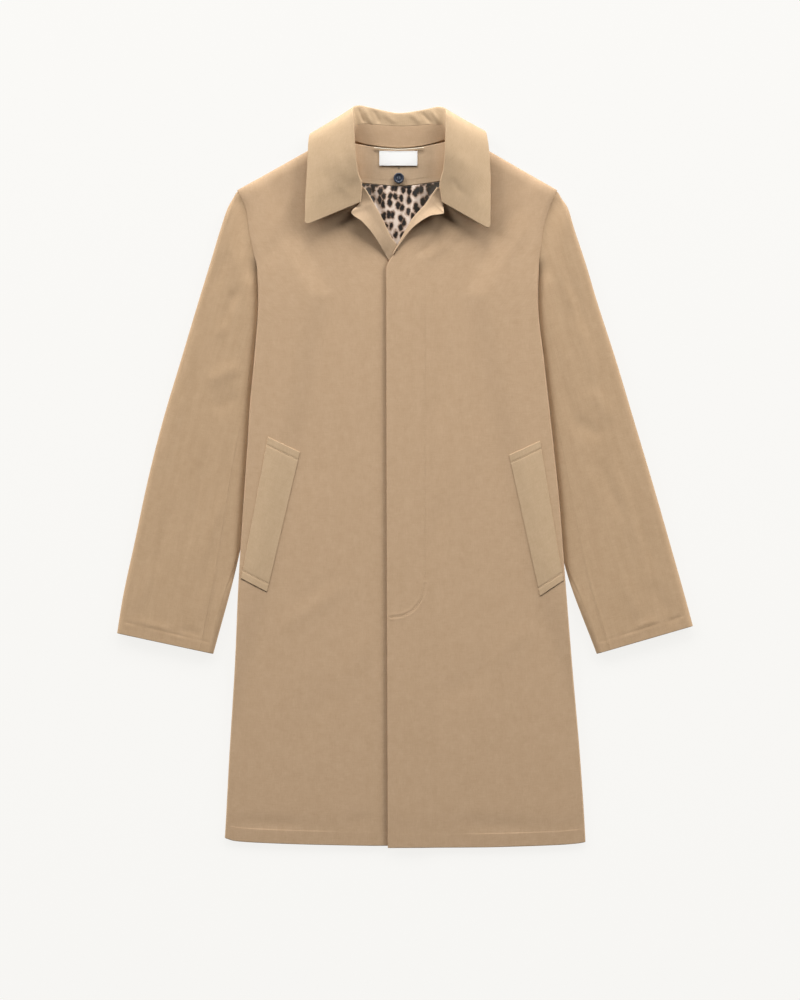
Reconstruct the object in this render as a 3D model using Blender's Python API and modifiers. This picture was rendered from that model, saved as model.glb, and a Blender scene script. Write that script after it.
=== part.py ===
"""A single-breasted gabardine coat with a fly front, lying face up on a flat surface.

Every panel is its own piece of cloth. Sizes in the tables are millimetres, read as a pattern cutter would
lay the coat out: X across the coat (the wearer's left is +X), Y from the hem to the collar, Z up from the
surface. The meshes are in metres.
"""

import math

import bmesh
import bpy
import numpy as np

for old in list(bpy.data.objects):
    bpy.data.objects.remove(old, do_unlink=True)

# Driving dimensions, in millimetres
MM = 0.001
CENTRE_Y = -0.95  # middle of the coat's length, which becomes the origin
WALL = 1.2  # cloth of the body and sleeves, with its lining
COLLAR_WALL = 1.4  # two cloths and the interlining between them
FACING_WALL = 1.2
LINING_WALL = 1.0
WELT_WALL = 1.6
SEAM = 0.3  # gap between two pieces at a seam
SLEEVE_PRESSED = 3.0  # height of a sleeve where the body lies on it
SLEEVE_FREE = 7.4  # and where it lies free
BODY_LIFT = 3.3  # how far a sleeve lifts the body
COLLAR_LIFT = 2.2  # how far the collar, folded under, lifts the back neck
TURN_LIFT = 1.6  # and how much more where the collar turns over the shoulder
LIFT_RAMP = 45.0
SIDE_ROLL = 9.0  # width of the rolled edge at the sides
SHOULDER_ROLL = 16.0
ROLL_FOOT = 0.8  # the rolled edge ends this far above what it lies on
NECK_RISE = 3.4
LAP_UNDER = 0.7  # the under front lies this much lower in the lap
LAP_OVER = 0.9  # and the over front this much higher
UNDERLAP_X = 15.0  # front edge of the under front
BUTTON_DIAMETER = 15.5
BUTTON_THICK = 2.6
BUTTON_AT = (-9.0, 432.0)

# Height of the fronts' upper face above the surface, along the coat
REST = ((-540.0, 4.6), (-300.0, 4.9), (0.0, 5.2), (250.0, 5.5), (420.0, 6.0), (520.0, 6.2))

# Outline of the body at each side, from the hem to the shoulder point: y, x
SIDE_LINE = {
    "right": (
        (-545, -262.6), (-525, -261.6), (-510, -260.6), (-406, -255), (-267, -246.5), (-162, -242),
        (-49, -235), (38, -229), (103, -225), (168, -219), (255, -213), (299, -214.6), (331, -222),
        (364, -227.5), (386, -231), (414.7, -243.6),
    ),
    "left": (
        (-545, 262.8), (-531, 262), (-510, 261), (-406, 254), (-267, 242), (-162, 233.5), (-28, 223),
        (38, 216), (103, 209), (168, 201.6), (255, 193), (299, 194), (331, 197), (364, 202),
        (386, 209), (414.7, 221),
    ),
}
SHOULDER_POINT = {"right": (-243.6, 414.7), "left": (221.0, 414.7)}
NECK_POINT = {"right": (-86.0, 503.0), "left": (68.0, 503.0)}

# Front edge, then the edge at the lapel roll and the neck seam, from the hem up: x, y
FRONT_LINE = {
    "right": ((UNDERLAP_X, -536.5), (UNDERLAP_X, 290)),
    "left": ((-25, -539.4), (-27.3, 300)),
}
NECK_LINE = {
    "right": (
        (UNDERLAP_X, 290), (-5, 318.5), (-17.6, 338), (-28.6, 360.8), (-37.6, 379), (-50.5, 401),
        (-62.2, 421), (-68.4, 427.5), (-73.2, 436), (-78.6, 460), (-82.4, 479), (-86, 503),
    ),
    "left": (
        (-27.3, 300), (-23.5, 311), (-16, 321.5), (-9.8, 332.4), (3.5, 357), (13.2, 372.8), (31.2, 393),
        (50.4, 421), (58.8, 438), (64.6, 462), (67.4, 480), (68, 503),
    ),
}
HEM_LINE = {
    "right": (
        (UNDERLAP_X, -536.5), (-25, -536.5), (-123, -535), (-210, -532), (-246, -529.5), (-261.6, -525),
    ),
    "left": ((-25, -539.4), (109, -538.7), (170, -537.2), (225, -535), (250, -533), (262, -531)),
}

# Sleeves from the cuff to the head: outer edge and inner edge, x and y
SLEEVE_OUTER = {
    "right": (
        (-417.6, -228), (-410, -180), (-391.5, -93), (-373, -6), (-351, 81), (-325, 168), (-299, 255),
        (-283, 307), (-267, 360), (-257, 389), (-243, 409),
    ),
    "left": (
        (417.6, -217.5), (407.5, -180), (383, -93), (358, -6), (332, 81), (306, 168), (278, 255),
        (262.5, 307), (245, 360), (236, 389), (221, 409),
    ),
}
SLEEVE_INNER = {
    "right": ((-278, -258), (-243.6, -128), (-205, 66), (-165, 262)),
    "left": ((278, -258), (233.5, -136), (189, 66), (145, 262)),
}
SLEEVE_SIDE = {"right": -1.0, "left": 1.0}
HIND_SEAM = 0.18  # where the sleeve's under seam lies, as a share of its width from the outer edge
FORE_SEAM = ((0.0, 0.86), (0.5, 0.76), (1.0, 0.70))  # the upper seam, from the cuff to the head

# Collar from the front end on one side, round the back, to the other front end. Each row is one section:
# the neck seam (n), the seam between stand and leaf (s), the crest of the roll (r), the outer edge (e),
# and how far the roll has turned from lying on the front (0) to lying under the back (1).
COLLAR = (
    # name              n_x    n_y   n_z    s_x    s_y   s_z    r_x    r_y   r_z     e_x    e_y   e_z  turn
    ("right end",      -58.0, 411.0, 8.0, -64.0, 401.5, 13.5, -66.0, 398.0, 18.0, -144.0, 369.0, 21.0, 0.0),
    ("right gorge",    -60.4, 417.5, 7.8, -62.6, 420.0, 15.5, -65.2, 422.0, 20.6, -144.6, 383.0, 21.0, 0.0),
    ("right front",    -68.4, 432.0, 7.2, -69.0, 436.0, 17.0, -69.5, 440.0, 23.8, -144.5, 396.0, 20.6, 0.0),
    ("right side",     -75.6, 460.0, 7.2, -74.0, 466.0, 20.0, -73.0, 470.0, 26.4, -142.5, 432.0, 19.2, 0.0),
    ("right shoulder", -79.4, 477.0, 6.8, -76.0, 488.0, 20.0, -74.6, 499.0, 25.4, -141.0, 464.0, 16.6, 0.08),
    ("right turn top", -79.0, 486.0, 6.0, -74.5, 501.0, 15.0, -76.6, 520.0, 19.0, -140.0, 484.0, 10.0, 0.3),
    ("right turn",     -71.0, 485.0, 5.2, -70.0, 509.0, 9.5, -77.0, 531.5, 11.0, -137.0, 496.0, 4.2, 0.55),
    ("right under",    -58.0, 481.2, 4.8, -56.0, 510.5, 6.6, -66.0, 536.8, 5.4, -120.0, 488.0, 1.0, 0.85),
    ("right back",     -36.0, 477.8, 4.6, -36.0, 509.0, 5.6, -42.0, 532.0, 3.7, -62.0, 469.0, 0.9, 1.0),
    ("centre back",     -8.0, 475.6, 4.6,  -8.0, 507.2, 5.6,  -8.0, 526.0, 3.2,  -8.0, 463.0, 0.9, 1.0),
    ("left back",       20.0, 478.2, 4.6,  20.0, 508.5, 5.6,  25.0, 530.5, 3.7,  44.0, 469.0, 0.9, 1.0),
    ("left under",      42.0, 482.6, 4.8,  40.0, 510.0, 6.6,  49.0, 535.0, 5.4, 101.0, 490.0, 1.0, 0.85),
    ("left turn",       55.5, 486.6, 5.2,  54.0, 509.0, 9.5,  60.0, 530.0, 11.0, 116.0, 499.5, 4.2, 0.55),
    ("left turn top",   64.0, 487.0, 6.0,  59.5, 502.0, 15.0, 60.4, 520.0, 19.0, 120.0, 486.0, 10.0, 0.3),
    ("left shoulder",   65.0, 478.0, 6.8,  61.5, 489.0, 20.0, 59.8, 501.0, 25.4, 122.4, 464.0, 16.6, 0.08),
    ("left side",       62.2, 462.0, 7.2,  60.0, 468.0, 20.0, 59.0, 473.0, 26.4, 123.8, 432.0, 19.2, 0.0),
    ("left front",      56.2, 438.0, 7.2,  57.0, 442.0, 17.0, 57.0, 446.0, 23.8, 124.0, 394.0, 20.6, 0.0),
    ("left gorge",      48.0, 419.5, 7.8,  50.4, 422.0, 15.5, 53.0, 424.0, 20.6, 123.6, 378.0, 21.0, 0.0),
    ("left end",        46.0, 413.0, 8.0,  53.4, 401.5, 13.5, 55.6, 398.0, 18.0, 122.5, 362.0, 21.0, 0.0),
)

BACK_NECK = COLLAR[7:12]
STAND_FROM = 1.4  # the stand starts past the first sections, where the facings take its place

# Facings where they turn back over the fronts, from the bottom of the neck opening up to the collar:
# a point on the roll, one on the outer edge, how high the roll stands over the front, and how much
# higher the edge springs up off it
FACING = {
    "right": (
        # roll_x roll_y edge_x edge_y stand spring
        (-13.2, 337.2, -26.3, 317.4, 1.5, 0.0), (-20.0, 346.5, -34.0, 330.0, 1.7, 2.2),
        (-29.0, 364.5, -46.5, 349.5, 2.2, 7.6), (-38.0, 383.0, -62.0, 367.5, 2.8, 11.6),
        (-43.5, 392.0, -77.6, 380.8, 3.2, 13.0), (-49.0, 402.0, -66.5, 396.5, 3.5, 2.0),
        (-58.5, 418.0, -65.0, 414.0, 3.6, 0.4),
    ),
    "left": (
        (-15.5, 325.5, -13.0, 324.0, 1.2, 0.0), (-11.3, 333.5, -8.0, 331.6, 1.4, 0.2),
        (1.9, 358.2, 7.4, 355.0, 2.0, 4.6), (11.6, 373.9, 20.0, 366.2, 2.4, 9.4),
        (29.6, 394.0, 38.0, 376.3, 3.0, 12.4), (35.0, 402.0, 56.4, 379.9, 3.3, 13.4),
        (40.5, 410.0, 55.2, 396.5, 3.5, 2.2), (46.5, 418.5, 52.6, 414.5, 3.6, 0.4),
    ),
}

# Pocket welts: corners, x and y
WELT = {
    "right": {
        "top_in": (-152.3, 34.8), "top_out": (-198.7, 56.6),
        "low_in": (-200, -168), "low_out": (-237.6, -148.5),
    },
    "left": {
        "top_in": (150.8, 30.5), "top_out": (195.8, 50.8),
        "low_in": (195.8, -174), "low_out": (229.4, -151.5),
    },
}

# Back neck facing, lining and label: x and y
NECK_FACING_LOW = ((-78, 426.5), (-62, 425), (-8, 421), (51, 427.5), (64, 429))
LINING_TOP = ((-80, 424), (-62, 424), (-8, 420), (51, 426.5), (66, 427))
LINING_LOW = ((-30, 316), (-12, 313), (8, 313))
LABEL_X = (-37.4, 18.0)
LABEL_Y = (449.8, 471.5)
LOOP = ((-45.0, 476.0), (-30.0, 474.6), (-8.7, 473.4), (12.0, 474.6), (27.5, 476.0))
LOOP_DIAMETER = 2.0

# Where the collar's folded edge reaches under the back: x, y
UNDER_COLLAR = (
    (-150, 520), (-137, 496), (-120, 488), (-62, 469), (-8, 463), (44, 469), (101, 490), (116, 500),
    (130, 522),
)


def ease(q):
    """A smooth step from 0 to 1 as q goes from 0 to 1."""
    q = np.clip(q, 0.0, 1.0)
    return q * q * (3.0 - 2.0 * q)


def quarter(q):
    """Height of a quarter circle of radius 1 at the distance q from its foot."""
    q = np.clip(q, 0.0, 1.0)
    return np.sqrt(1.0 - (1.0 - q) ** 2)


def curve(knots, values, q):
    """A smooth curve through values at knots that doesn't overshoot them, read at q."""
    knots = np.asarray(knots, float)
    values = np.asarray(values, float).reshape(len(knots), -1)
    step = np.diff(knots)[:, None]
    slope = np.diff(values, axis=0) / step
    tangent = np.zeros_like(values)
    tangent[0] = slope[0]
    tangent[-1] = slope[-1]
    same = slope[1:] * slope[:-1] > 0
    total = np.where(same, slope[1:] + slope[:-1], 1.0)
    tangent[1:-1] = np.where(same, 2.0 * slope[1:] * slope[:-1] / total, 0.0)
    q = np.clip(np.asarray(q, float), knots[0], knots[-1])
    i = np.clip(np.searchsorted(knots, q, side="right") - 1, 0, len(knots) - 2)
    h = step[i, 0]
    f = ((q - knots[i]) / h)[..., None]
    h = h[..., None]
    a = values[i] * (1 + 2 * f) * (1 - f) ** 2 + values[i + 1] * f * f * (3 - 2 * f)
    b = tangent[i] * h * f * (1 - f) ** 2 + tangent[i + 1] * h * f * f * (f - 1)
    return np.squeeze(a + b, axis=-1) if values.shape[1] == 1 else a + b


def along(points, q):
    """The point at the share q of the length of a line through points."""
    points = np.asarray(points, float)
    reach = np.concatenate([[0.0], np.cumsum(np.linalg.norm(np.diff(points, axis=0), axis=1))])
    return curve(reach / reach[-1], points, q)


def side_x(side, y):
    """The body's outline at the height y."""
    table = np.array(SIDE_LINE[side], float)
    return curve(table[:, 0], table[:, 1], y)


def body_lift(x, y):
    """How far the body is lifted by a sleeve, or the folded collar, that lies under it."""
    lift = np.zeros_like(x)
    for side, sign in SLEEVE_SIDE.items():
        inner = np.array(SLEEVE_INNER[side], float)
        outer_end = SLEEVE_OUTER[side][-1]
        foot = inner[1] + (inner[0] - inner[1]) * 2.0
        line = np.vstack([foot, inner, outer_end, (outer_end[0] + sign * 50.0, outer_end[1] + 45.0)])
        edge = np.interp(y, line[:, 1], line[:, 0]) - sign * 20.0
        lift = np.maximum(lift, BODY_LIFT * ease(1.0 - (edge - x) * sign / LIFT_RAMP))
    under = np.array(UNDER_COLLAR, float)
    reach = np.interp(x, under[:, 0], under[:, 1], left=600, right=600)
    level = COLLAR_LIFT + TURN_LIFT * ease((np.abs(x + 9.0) - 48.0) / 34.0)
    return np.maximum(lift, level * ease((y - reach + 48.0) / 42.0))


def shoulder_drop(side, x, y):
    """Distance from the shoulder line, down the front."""
    a = np.array(NECK_POINT[side])
    b = np.array(SHOULDER_POINT[side])
    run = (b - a) / np.linalg.norm(b - a)
    down = np.array([run[1], -run[0]])
    down = down if down[1] < 0 else -down
    return (x - a[0]) * down[0] + (y - a[1]) * down[1]


def front_height(side, x, y):
    """Upper face of a front: its rest height, lifted by what is under it, rolled down at the edges."""
    rest = np.array(REST)
    lift = body_lift(x, y)
    top = curve(rest[:, 0], rest[:, 1], y) + 0.5 * lift
    top = top + NECK_RISE * np.exp(-(((x + 9.0) / 95.0) ** 2) - ((y - 480.0) / 75.0) ** 2)
    if side == "right":
        top = top - LAP_UNDER * ease((x + 78.0) / 32.0)
    else:
        top = top + LAP_OVER * ease((52.0 - x) / 32.0)
    in_side = (side_x(side, y) - x) * SLEEVE_SIDE[side]
    roll = quarter(in_side / SIDE_ROLL) * quarter(shoulder_drop(side, x, y) / SHOULDER_ROLL)
    foot = lift + ROLL_FOOT
    return foot + (top - foot) * roll


def patch(low, high, left, right, s, t):
    """Plan of a panel between four edges, each a function of its share: a Coons patch."""
    s1 = s[..., None]
    t1 = t[..., None]
    across = (1 - t1) * low(s) + t1 * high(s)
    up = (1 - s1) * left(t) + s1 * right(t)
    zero = np.zeros(1)
    one = np.ones(1)
    corners = (1 - s1) * (1 - t1) * low(zero) + s1 * (1 - t1) * low(one)
    corners = corners + (1 - s1) * t1 * high(zero) + s1 * t1 * high(one)
    return across + up - corners


coat = bpy.data.collections.new("gabardine_coat")
bpy.context.scene.collection.children.link(coat)
tools = bpy.data.collections.new("cutters")
bpy.context.scene.collection.children.link(tools)


def srgb(text):
    """A hex colour as linear values."""
    values = [int(text[i:i + 2], 16) / 255.0 for i in (0, 2, 4)]
    return [v / 12.92 if v <= 0.04045 else ((v + 0.055) / 1.055) ** 2.4 for v in values] + [1.0]


def finish(name, colour, roughness):
    material = bpy.data.materials.new(name)
    material.use_nodes = True
    shader = material.node_tree.nodes["Principled BSDF"]
    shader.inputs["Base Color"].default_value = srgb(colour)
    shader.inputs["Roughness"].default_value = roughness
    shader.inputs["Metallic"].default_value = 0.0
    return material


GABARDINE = finish("gabardine", "BFA385", 0.85)
PRINT = finish("print_lining", "90826F", 0.7)
SATIN = finish("label_satin", "F4F1EA", 0.6)
CORD = finish("loop_cord", "E6DCC6", 0.8)
RESIN = finish("button_resin", "23262E", 0.35)


def cloth(name, points, wall, lie, material, turned=False):
    """A piece of cloth: a grid of points, thickened under them (-1), about them (0) or over them (1)."""
    rows, columns, _ = points.shape
    placed = (points - np.array([0.0, CENTRE_Y, 0.0])) * MM
    index = np.arange(rows * columns).reshape(rows, columns)
    quads = np.stack([index[:-1, :-1], index[:-1, 1:], index[1:, 1:], index[1:, :-1]], axis=-1)
    quads = quads.reshape(-1, 4)
    if turned:
        quads = quads[:, ::-1]
    mesh = bpy.data.meshes.new(name)
    mesh.from_pydata(placed.reshape(-1, 3).tolist(), [], quads.tolist())
    mesh.shade_smooth()
    piece = bpy.data.objects.new(name, mesh)
    coat.objects.link(piece)
    piece.data.materials.append(material)
    thick = piece.modifiers.new("wall", "SOLIDIFY")
    thick.thickness = wall * MM
    thick.offset = lie
    thick.use_rim = True
    return piece


# Body: the two fronts and the back
ROLL_STEPS = np.radians([0.0, 24.0, 48.0, 70.0, 90.0])
SIDE_STEPS = np.concatenate([SIDE_ROLL * (1 - np.cos(ROLL_STEPS)), [24.0, 38.0, 54.0, 72.0, 95.0, 128.0]])
INNER_SHARES = {"right": (0.0, 0.3, 0.55, 0.78), "left": (0.0, 0.2, 0.45, 0.72)}
TOP_STEPS = SHOULDER_ROLL * (1 - np.cos(np.radians([90.0, 62.0, 32.0, 0.0])))
BODY_ROWS = np.array([0.0, 0.09, 0.18, 0.27, 0.35, 0.42, 0.5, 0.58, 0.66, 0.74])


def front(side):
    sign = SLEEVE_SIDE[side]
    inner_line = np.array(FRONT_LINE[side] + NECK_LINE[side][1:], float)
    side_ys = [y for y, x in SIDE_LINE[side] if y > -524.0]
    ys = np.array([HEM_LINE[side][-1][1]] + side_ys, float)
    outer_line = np.stack([side_x(side, ys), ys], axis=-1)
    straight = np.linalg.norm(np.diff(inner_line[:2], axis=0))
    length = np.linalg.norm(np.diff(inner_line, axis=0), axis=1).sum()
    neck_starts = straight / length
    upper = np.linspace(neck_starts, 1.0 - SHOULDER_ROLL / 1000.0, 8)[:-1]
    t = np.concatenate([BODY_ROWS, upper, 1.0 - TOP_STEPS / 1000.0])
    width = np.linalg.norm(along(outer_line, t) - along(inner_line, t), axis=1)
    s_side = 1.0 - SIDE_STEPS[::-1][None, :] / width[:, None]
    s_inner = np.array(INNER_SHARES[side])[None, :] * s_side[:, :1]
    s = np.concatenate([s_inner, s_side], axis=1)
    t = np.repeat(t[:, None], s.shape[1], axis=1)
    plan = patch(
        lambda q: along(HEM_LINE[side], q),
        lambda q: along((NECK_POINT[side], SHOULDER_POINT[side]), q),
        lambda q: along(inner_line, q),
        lambda q: along(outer_line, q),
        s,
        t,
    )
    z = front_height(side, plan[..., 0], plan[..., 1])
    points = np.concatenate([plan, z[..., None]], axis=-1)
    cloth("front_" + side, points, WALL, -1, GABARDINE, turned=sign < 0)


front("right")
front("left")

BACK_INSET = 3.6
BACK_STEPS = np.array([0.0, 12.0, 24.0, 38.0, 54.0, 72.0, 95.0, 128.0])
BACK_MIDDLE = (0.32, 0.5, 0.68)
BACK_ROWS = (
    0.0, 0.1, 0.2, 0.3, 0.38, 0.46, 0.54, 0.62, 0.7, 0.78, 0.85, 0.895, 0.92, 0.94, 0.96, 0.98, 1.0,
)


def back():
    hem = ((-259, -524), (-200, -527), (0, -531), (200, -530), (259, -527))
    neck = [(r[1], r[2] - 1.0) for r in BACK_NECK]
    drop = np.array([0.0, -BACK_INSET * 1.2])
    top = [np.array(SHOULDER_POINT["right"]) + (6.5, -9.0), np.array((-88.0, 501.5)) + drop]
    top = top + neck + [np.array((70.0, 501.5)) + drop, np.array(SHOULDER_POINT["left"]) + (-6.5, -9.0)]
    reach = np.concatenate([[0.0], np.cumsum(np.linalg.norm(np.diff(np.array(top), axis=0), axis=1))])
    knots = reach / reach[-1]
    edges = []
    for side, sign in SLEEVE_SIDE.items():
        foot_y = hem[0][1] if side == "right" else hem[-1][1]
        side_ys = [y for y, x in SIDE_LINE[side] if -523 < y < 400]
        ys = np.array([foot_y] + side_ys + [SHOULDER_POINT[side][1] - 9.0], float)
        xs = side_x(side, ys) - sign * BACK_INSET
        edges.append(np.stack([xs, ys], axis=-1))
    edges[0][-1] = top[0]
    edges[1][-1] = top[-1]
    edges[0][0] = hem[0]
    edges[1][0] = hem[-1]
    t = np.array(BACK_ROWS)
    ends = [along(edge, t) for edge in edges]
    width = np.linalg.norm(ends[1] - ends[0], axis=1)[:, None]
    s_right = BACK_STEPS[None, :] / width
    s_left = 1.0 - BACK_STEPS[::-1][None, :] / width
    s_mid = s_right[:, -1:] + (s_left[:, :1] - s_right[:, -1:]) * np.array(BACK_MIDDLE)[None, :]
    s = np.concatenate([s_right, s_mid, s_left], axis=1)
    t = np.repeat(t[:, None], s.shape[1], axis=1)
    plan = patch(
        lambda q: along(hem, q),
        lambda q: np.stack([np.interp(q, knots, np.array(top)[:, k]) for k in (0, 1)], axis=-1),
        lambda q: along(edges[0], q),
        lambda q: along(edges[1], q),
        s,
        t,
    )
    z = body_lift(plan[..., 0], plan[..., 1])
    cloth("back", np.concatenate([plan, z[..., None]], axis=-1), WALL, 1, GABARDINE)


back()

# Sleeves: a flat tube cut into an upper and a lower piece
SLEEVE_ROWS = np.array([0.0, 0.1, 0.22, 0.34, 0.46, 0.58, 0.7, 0.8, 0.88, 0.94, 0.98, 1.0])
ROUND = np.radians([-90.0, -45.0, 0.0, 45.0, 90.0])


def sleeve_height(side, x, y):
    """Upper face of a sleeve: full where it is free, pressed flat where the body lies on it."""
    out = (x - side_x(side, y)) * SLEEVE_SIDE[side]
    below = ease((SLEEVE_INNER[side][1][1] - 14.0 - y) / 60.0)
    free = ease((out - 9.0 + 26.0 * below) / 30.0)
    return SLEEVE_PRESSED + (SLEEVE_FREE - SLEEVE_PRESSED) * free


def sleeve(side):
    w = SLEEVE_ROWS[:, None]
    outer = along(SLEEVE_OUTER[side], SLEEVE_ROWS)[:, None, :]
    inner = along(SLEEVE_INNER[side], SLEEVE_ROWS)[:, None, :]
    width = np.linalg.norm(inner - outer, axis=-1)
    fore = np.array(FORE_SEAM)
    seam = curve(fore[:, 0], fore[:, 1], SLEEVE_ROWS)[:, None]
    gap = SEAM / width

    def place(f, z):
        plan = outer + (inner - outer) * f[..., None]
        return np.concatenate([plan, z[..., None]], axis=-1)

    def upper(f):
        plan = outer + (inner - outer) * f[..., None]
        return place(f, sleeve_height(side, plan[..., 0], plan[..., 1]))

    def lower(f):
        return place(f, np.zeros_like(f))

    def edge(at_outer):
        start = outer if at_outer else inner
        h = sleeve_height(side, start[..., 0], start[..., 1])
        reach = SLEEVE_PRESSED / 2 + (h - SLEEVE_PRESSED) * 0.9
        f = reach * (1 - np.cos(ROUND)[None, :]) / width
        z = h / 2 + h / 2 * np.sin(ROUND)[None, :]
        return place(f if at_outer else 1.0 - f, z), reach / width

    round_out, reach_out = edge(True)
    round_in, reach_in = edge(False)
    under_out = lower(HIND_SEAM + (reach_out - HIND_SEAM) * np.array([[0.0, 0.5]]))
    over_out = upper(reach_out + (seam - gap - reach_out) * np.linspace(0.0, 1.0, 9)[None, 1:])
    over_in = upper(seam + (1 - reach_in - seam) * np.array([[0.0, 0.3, 0.6, 0.85]]))
    low_in = lower(1 - reach_in - (1 - reach_in - HIND_SEAM - gap) * np.array([[0.25, 0.5, 0.75, 1.0]]))
    top = np.concatenate([under_out, round_out, over_out], axis=1)
    under = np.concatenate([over_in, round_in[:, ::-1], low_in], axis=1)
    turned = side == "left"
    cloth("top_sleeve_" + side, top, WALL, -1, GABARDINE, turned)
    cloth("under_sleeve_" + side, under, WALL, -1, GABARDINE, turned)


sleeve("right")
sleeve("left")

# Collar: sections from the neck seam over the roll to the outer edge
COLLAR_COLUMNS = 44
rows = np.array([r[1:] for r in COLLAR], float)
last = len(COLLAR) - 1.0


def hermite(a, b, run_a, run_b, f):
    f = np.asarray(f, float)[None, :, None]
    a, b, run_a, run_b = (p[:, None, :] for p in (a, b, run_a, run_b))
    ends = a * (1 + 2 * f) * (1 - f) ** 2 + b * f * f * (3 - 2 * f)
    return ends + run_a * f * (1 - f) ** 2 + run_b * f * f * (f - 1)


def collar(start, columns):
    """Points on the stand and on the leaf, through sections from start to the same place opposite."""
    sections = curve(np.arange(len(COLLAR)), rows, np.linspace(start, last - start, columns + 1))
    neck, join, crest, edge = (sections[:, i:i + 3] for i in (0, 3, 6, 9))
    turn = sections[:, 12:13]
    outward = (edge - crest) * np.array([1.0, 1.0, 0.0])
    outward = outward / np.linalg.norm(outward, axis=1, keepdims=True)
    over = outward * (1 - turn) + np.array([0.0, 0.0, -1.0]) * turn
    over = over / np.linalg.norm(over, axis=1, keepdims=True)
    rise = crest - join
    stand_run = join - neck
    rise_length = np.linalg.norm(rise, axis=1, keepdims=True)
    stand_length = np.linalg.norm(stand_run, axis=1, keepdims=True)
    bend = rise / rise_length + stand_run / stand_length
    bend = bend / np.linalg.norm(bend, axis=1, keepdims=True)
    leaf_roll = over * np.minimum(8.0 - 3.0 * turn, 1.2 * rise_length)
    leaf_in = hermite(join + bend * SEAM, crest, bend * rise_length, leaf_roll, (0.0, 0.4, 0.75))
    fall = over * (34.0 - 28.0 * turn)
    leaf_out = hermite(crest, edge, fall, edge - crest, (0.0, 0.1, 0.25, 0.5, 0.75, 1.0))
    stand_end = join - bend * 1.6 * SEAM
    stand = hermite(neck, stand_end, stand_run, bend * stand_length, (0.0, 0.5, 1.0))
    return stand, np.concatenate([leaf_in, leaf_out], axis=1)


cloth("collar_leaf", collar(0.0, COLLAR_COLUMNS)[1], COLLAR_WALL, 0, GABARDINE)
cloth("collar_stand", collar(STAND_FROM, COLLAR_COLUMNS - 4)[0], COLLAR_WALL, 0, GABARDINE)

# Facings that turn back at the neck opening
FACING_STEPS = np.linspace(0.0, 1.0, 22)


def facing(side):
    table = np.array(FACING[side])
    line = curve(np.linspace(0.0, 1.0, len(table)), table, FACING_STEPS)
    roll, edge_at, stands, spring = line[:, 0:2], line[:, 2:4], line[:, 4], line[:, 5]
    across = edge_at - roll
    reach = np.linalg.norm(across, axis=1, keepdims=True)
    out = across / reach
    foot = front_height(side, *(roll + out * np.minimum(reach, 2.0)).T)
    lies = 0.5 * FACING_WALL + SEAM + 0.1
    columns = []
    for share, level in ((0.0, -1.0), (0.0, 0.4), (0.3, 1.0), (1.0, None), (2.0, None), (3.0, None)):
        if level is not None:
            plan = roll + out * (0.2 + share * 3.0 * np.minimum(reach, 3.0) / 3.0)
            z = foot + np.where(level > 0, level * np.maximum(stands, lies), level)
        else:
            q = (0.45, 0.75, 1.0)[int(share) - 1]
            plan = roll + across * q
            high = front_height(side, *plan.T)
            z = high + lies + (stands - lies) * (1.0 - q) * 0.9 + 0.35 + spring * q ** 1.6
        columns.append(np.concatenate([plan, z[:, None]], axis=1))
    points = np.stack(columns, axis=1)
    cloth("facing_" + side, points, FACING_WALL, 0, GABARDINE, turned=side == "left")


facing("right")
facing("left")

# Inside the back neck: the facing, the lining below it, the label and the hanger loop


def on_back(plan, over_back):
    z = body_lift(plan[..., 0], plan[..., 1]) + WALL + over_back
    return np.concatenate([plan, z[..., None]], axis=-1)


def between(low, high, columns, shares):
    s = np.linspace(0.0, 1.0, columns)
    f = np.array(shares)[:, None, None]
    return along(low, s)[None] * (1 - f) + along(high, s)[None] * f


neck_top = [(-75.5, 482.0)] + [(r[1], r[2] - 1.6) for r in BACK_NECK] + [(59.5, 484.0)]
neck_plan = between(NECK_FACING_LOW, neck_top, 13, (0.0, 0.3, 0.45, 0.6, 0.75, 1.0))
cloth("back_neck_facing", on_back(neck_plan, SEAM + 0.2), FACING_WALL - 0.2, 1, GABARDINE)

lining_plan = between(LINING_LOW, LINING_TOP, 17, (0.0, 0.25, 0.5, 0.75, 1.0))
FOLD_WAVE = 26.0  # distance between the lining's soft folds
ripple = 0.35 * (1 + np.sin(lining_plan[..., 0] / FOLD_WAVE * 2 * math.pi))
ripple = ripple * ease((lining_plan[..., 1] - 330) / 40.0) * ease((418 - lining_plan[..., 1]) / 30.0)
lining_points = on_back(lining_plan, SEAM + 0.2)
lining_points[..., 2] += ripple
cloth("lining", lining_points, LINING_WALL, 1, PRINT)

label_x, label_y = np.meshgrid(np.linspace(*LABEL_X, 4), np.linspace(*LABEL_Y, 5))
label_plan = np.stack([label_x, label_y], axis=-1)
cloth("label", on_back(label_plan, SEAM + FACING_WALL + SEAM + 0.1), 1.0, 1, SATIN)

loop_plan = along(LOOP, np.linspace(0.0, 1.0, 11))
loop_points = on_back(loop_plan, SEAM + FACING_WALL + 2.2)
loop_curve = bpy.data.curves.new("hanger_loop", "CURVE")
loop_curve.dimensions = "3D"
loop_curve.bevel_depth = LOOP_DIAMETER / 2 * MM
loop_curve.bevel_resolution = 1
loop_curve.use_fill_caps = True
spline = loop_curve.splines.new("POLY")
spline.points.add(len(loop_points) - 1)
for knot, (x, y, z) in zip(spline.points, loop_points):
    knot.co = (x * MM, (y - CENTRE_Y) * MM, z * MM, 1.0)
loop = bpy.data.objects.new("hanger_loop", loop_curve)
loop.data.materials.append(CORD)
coat.objects.link(loop)

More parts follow.
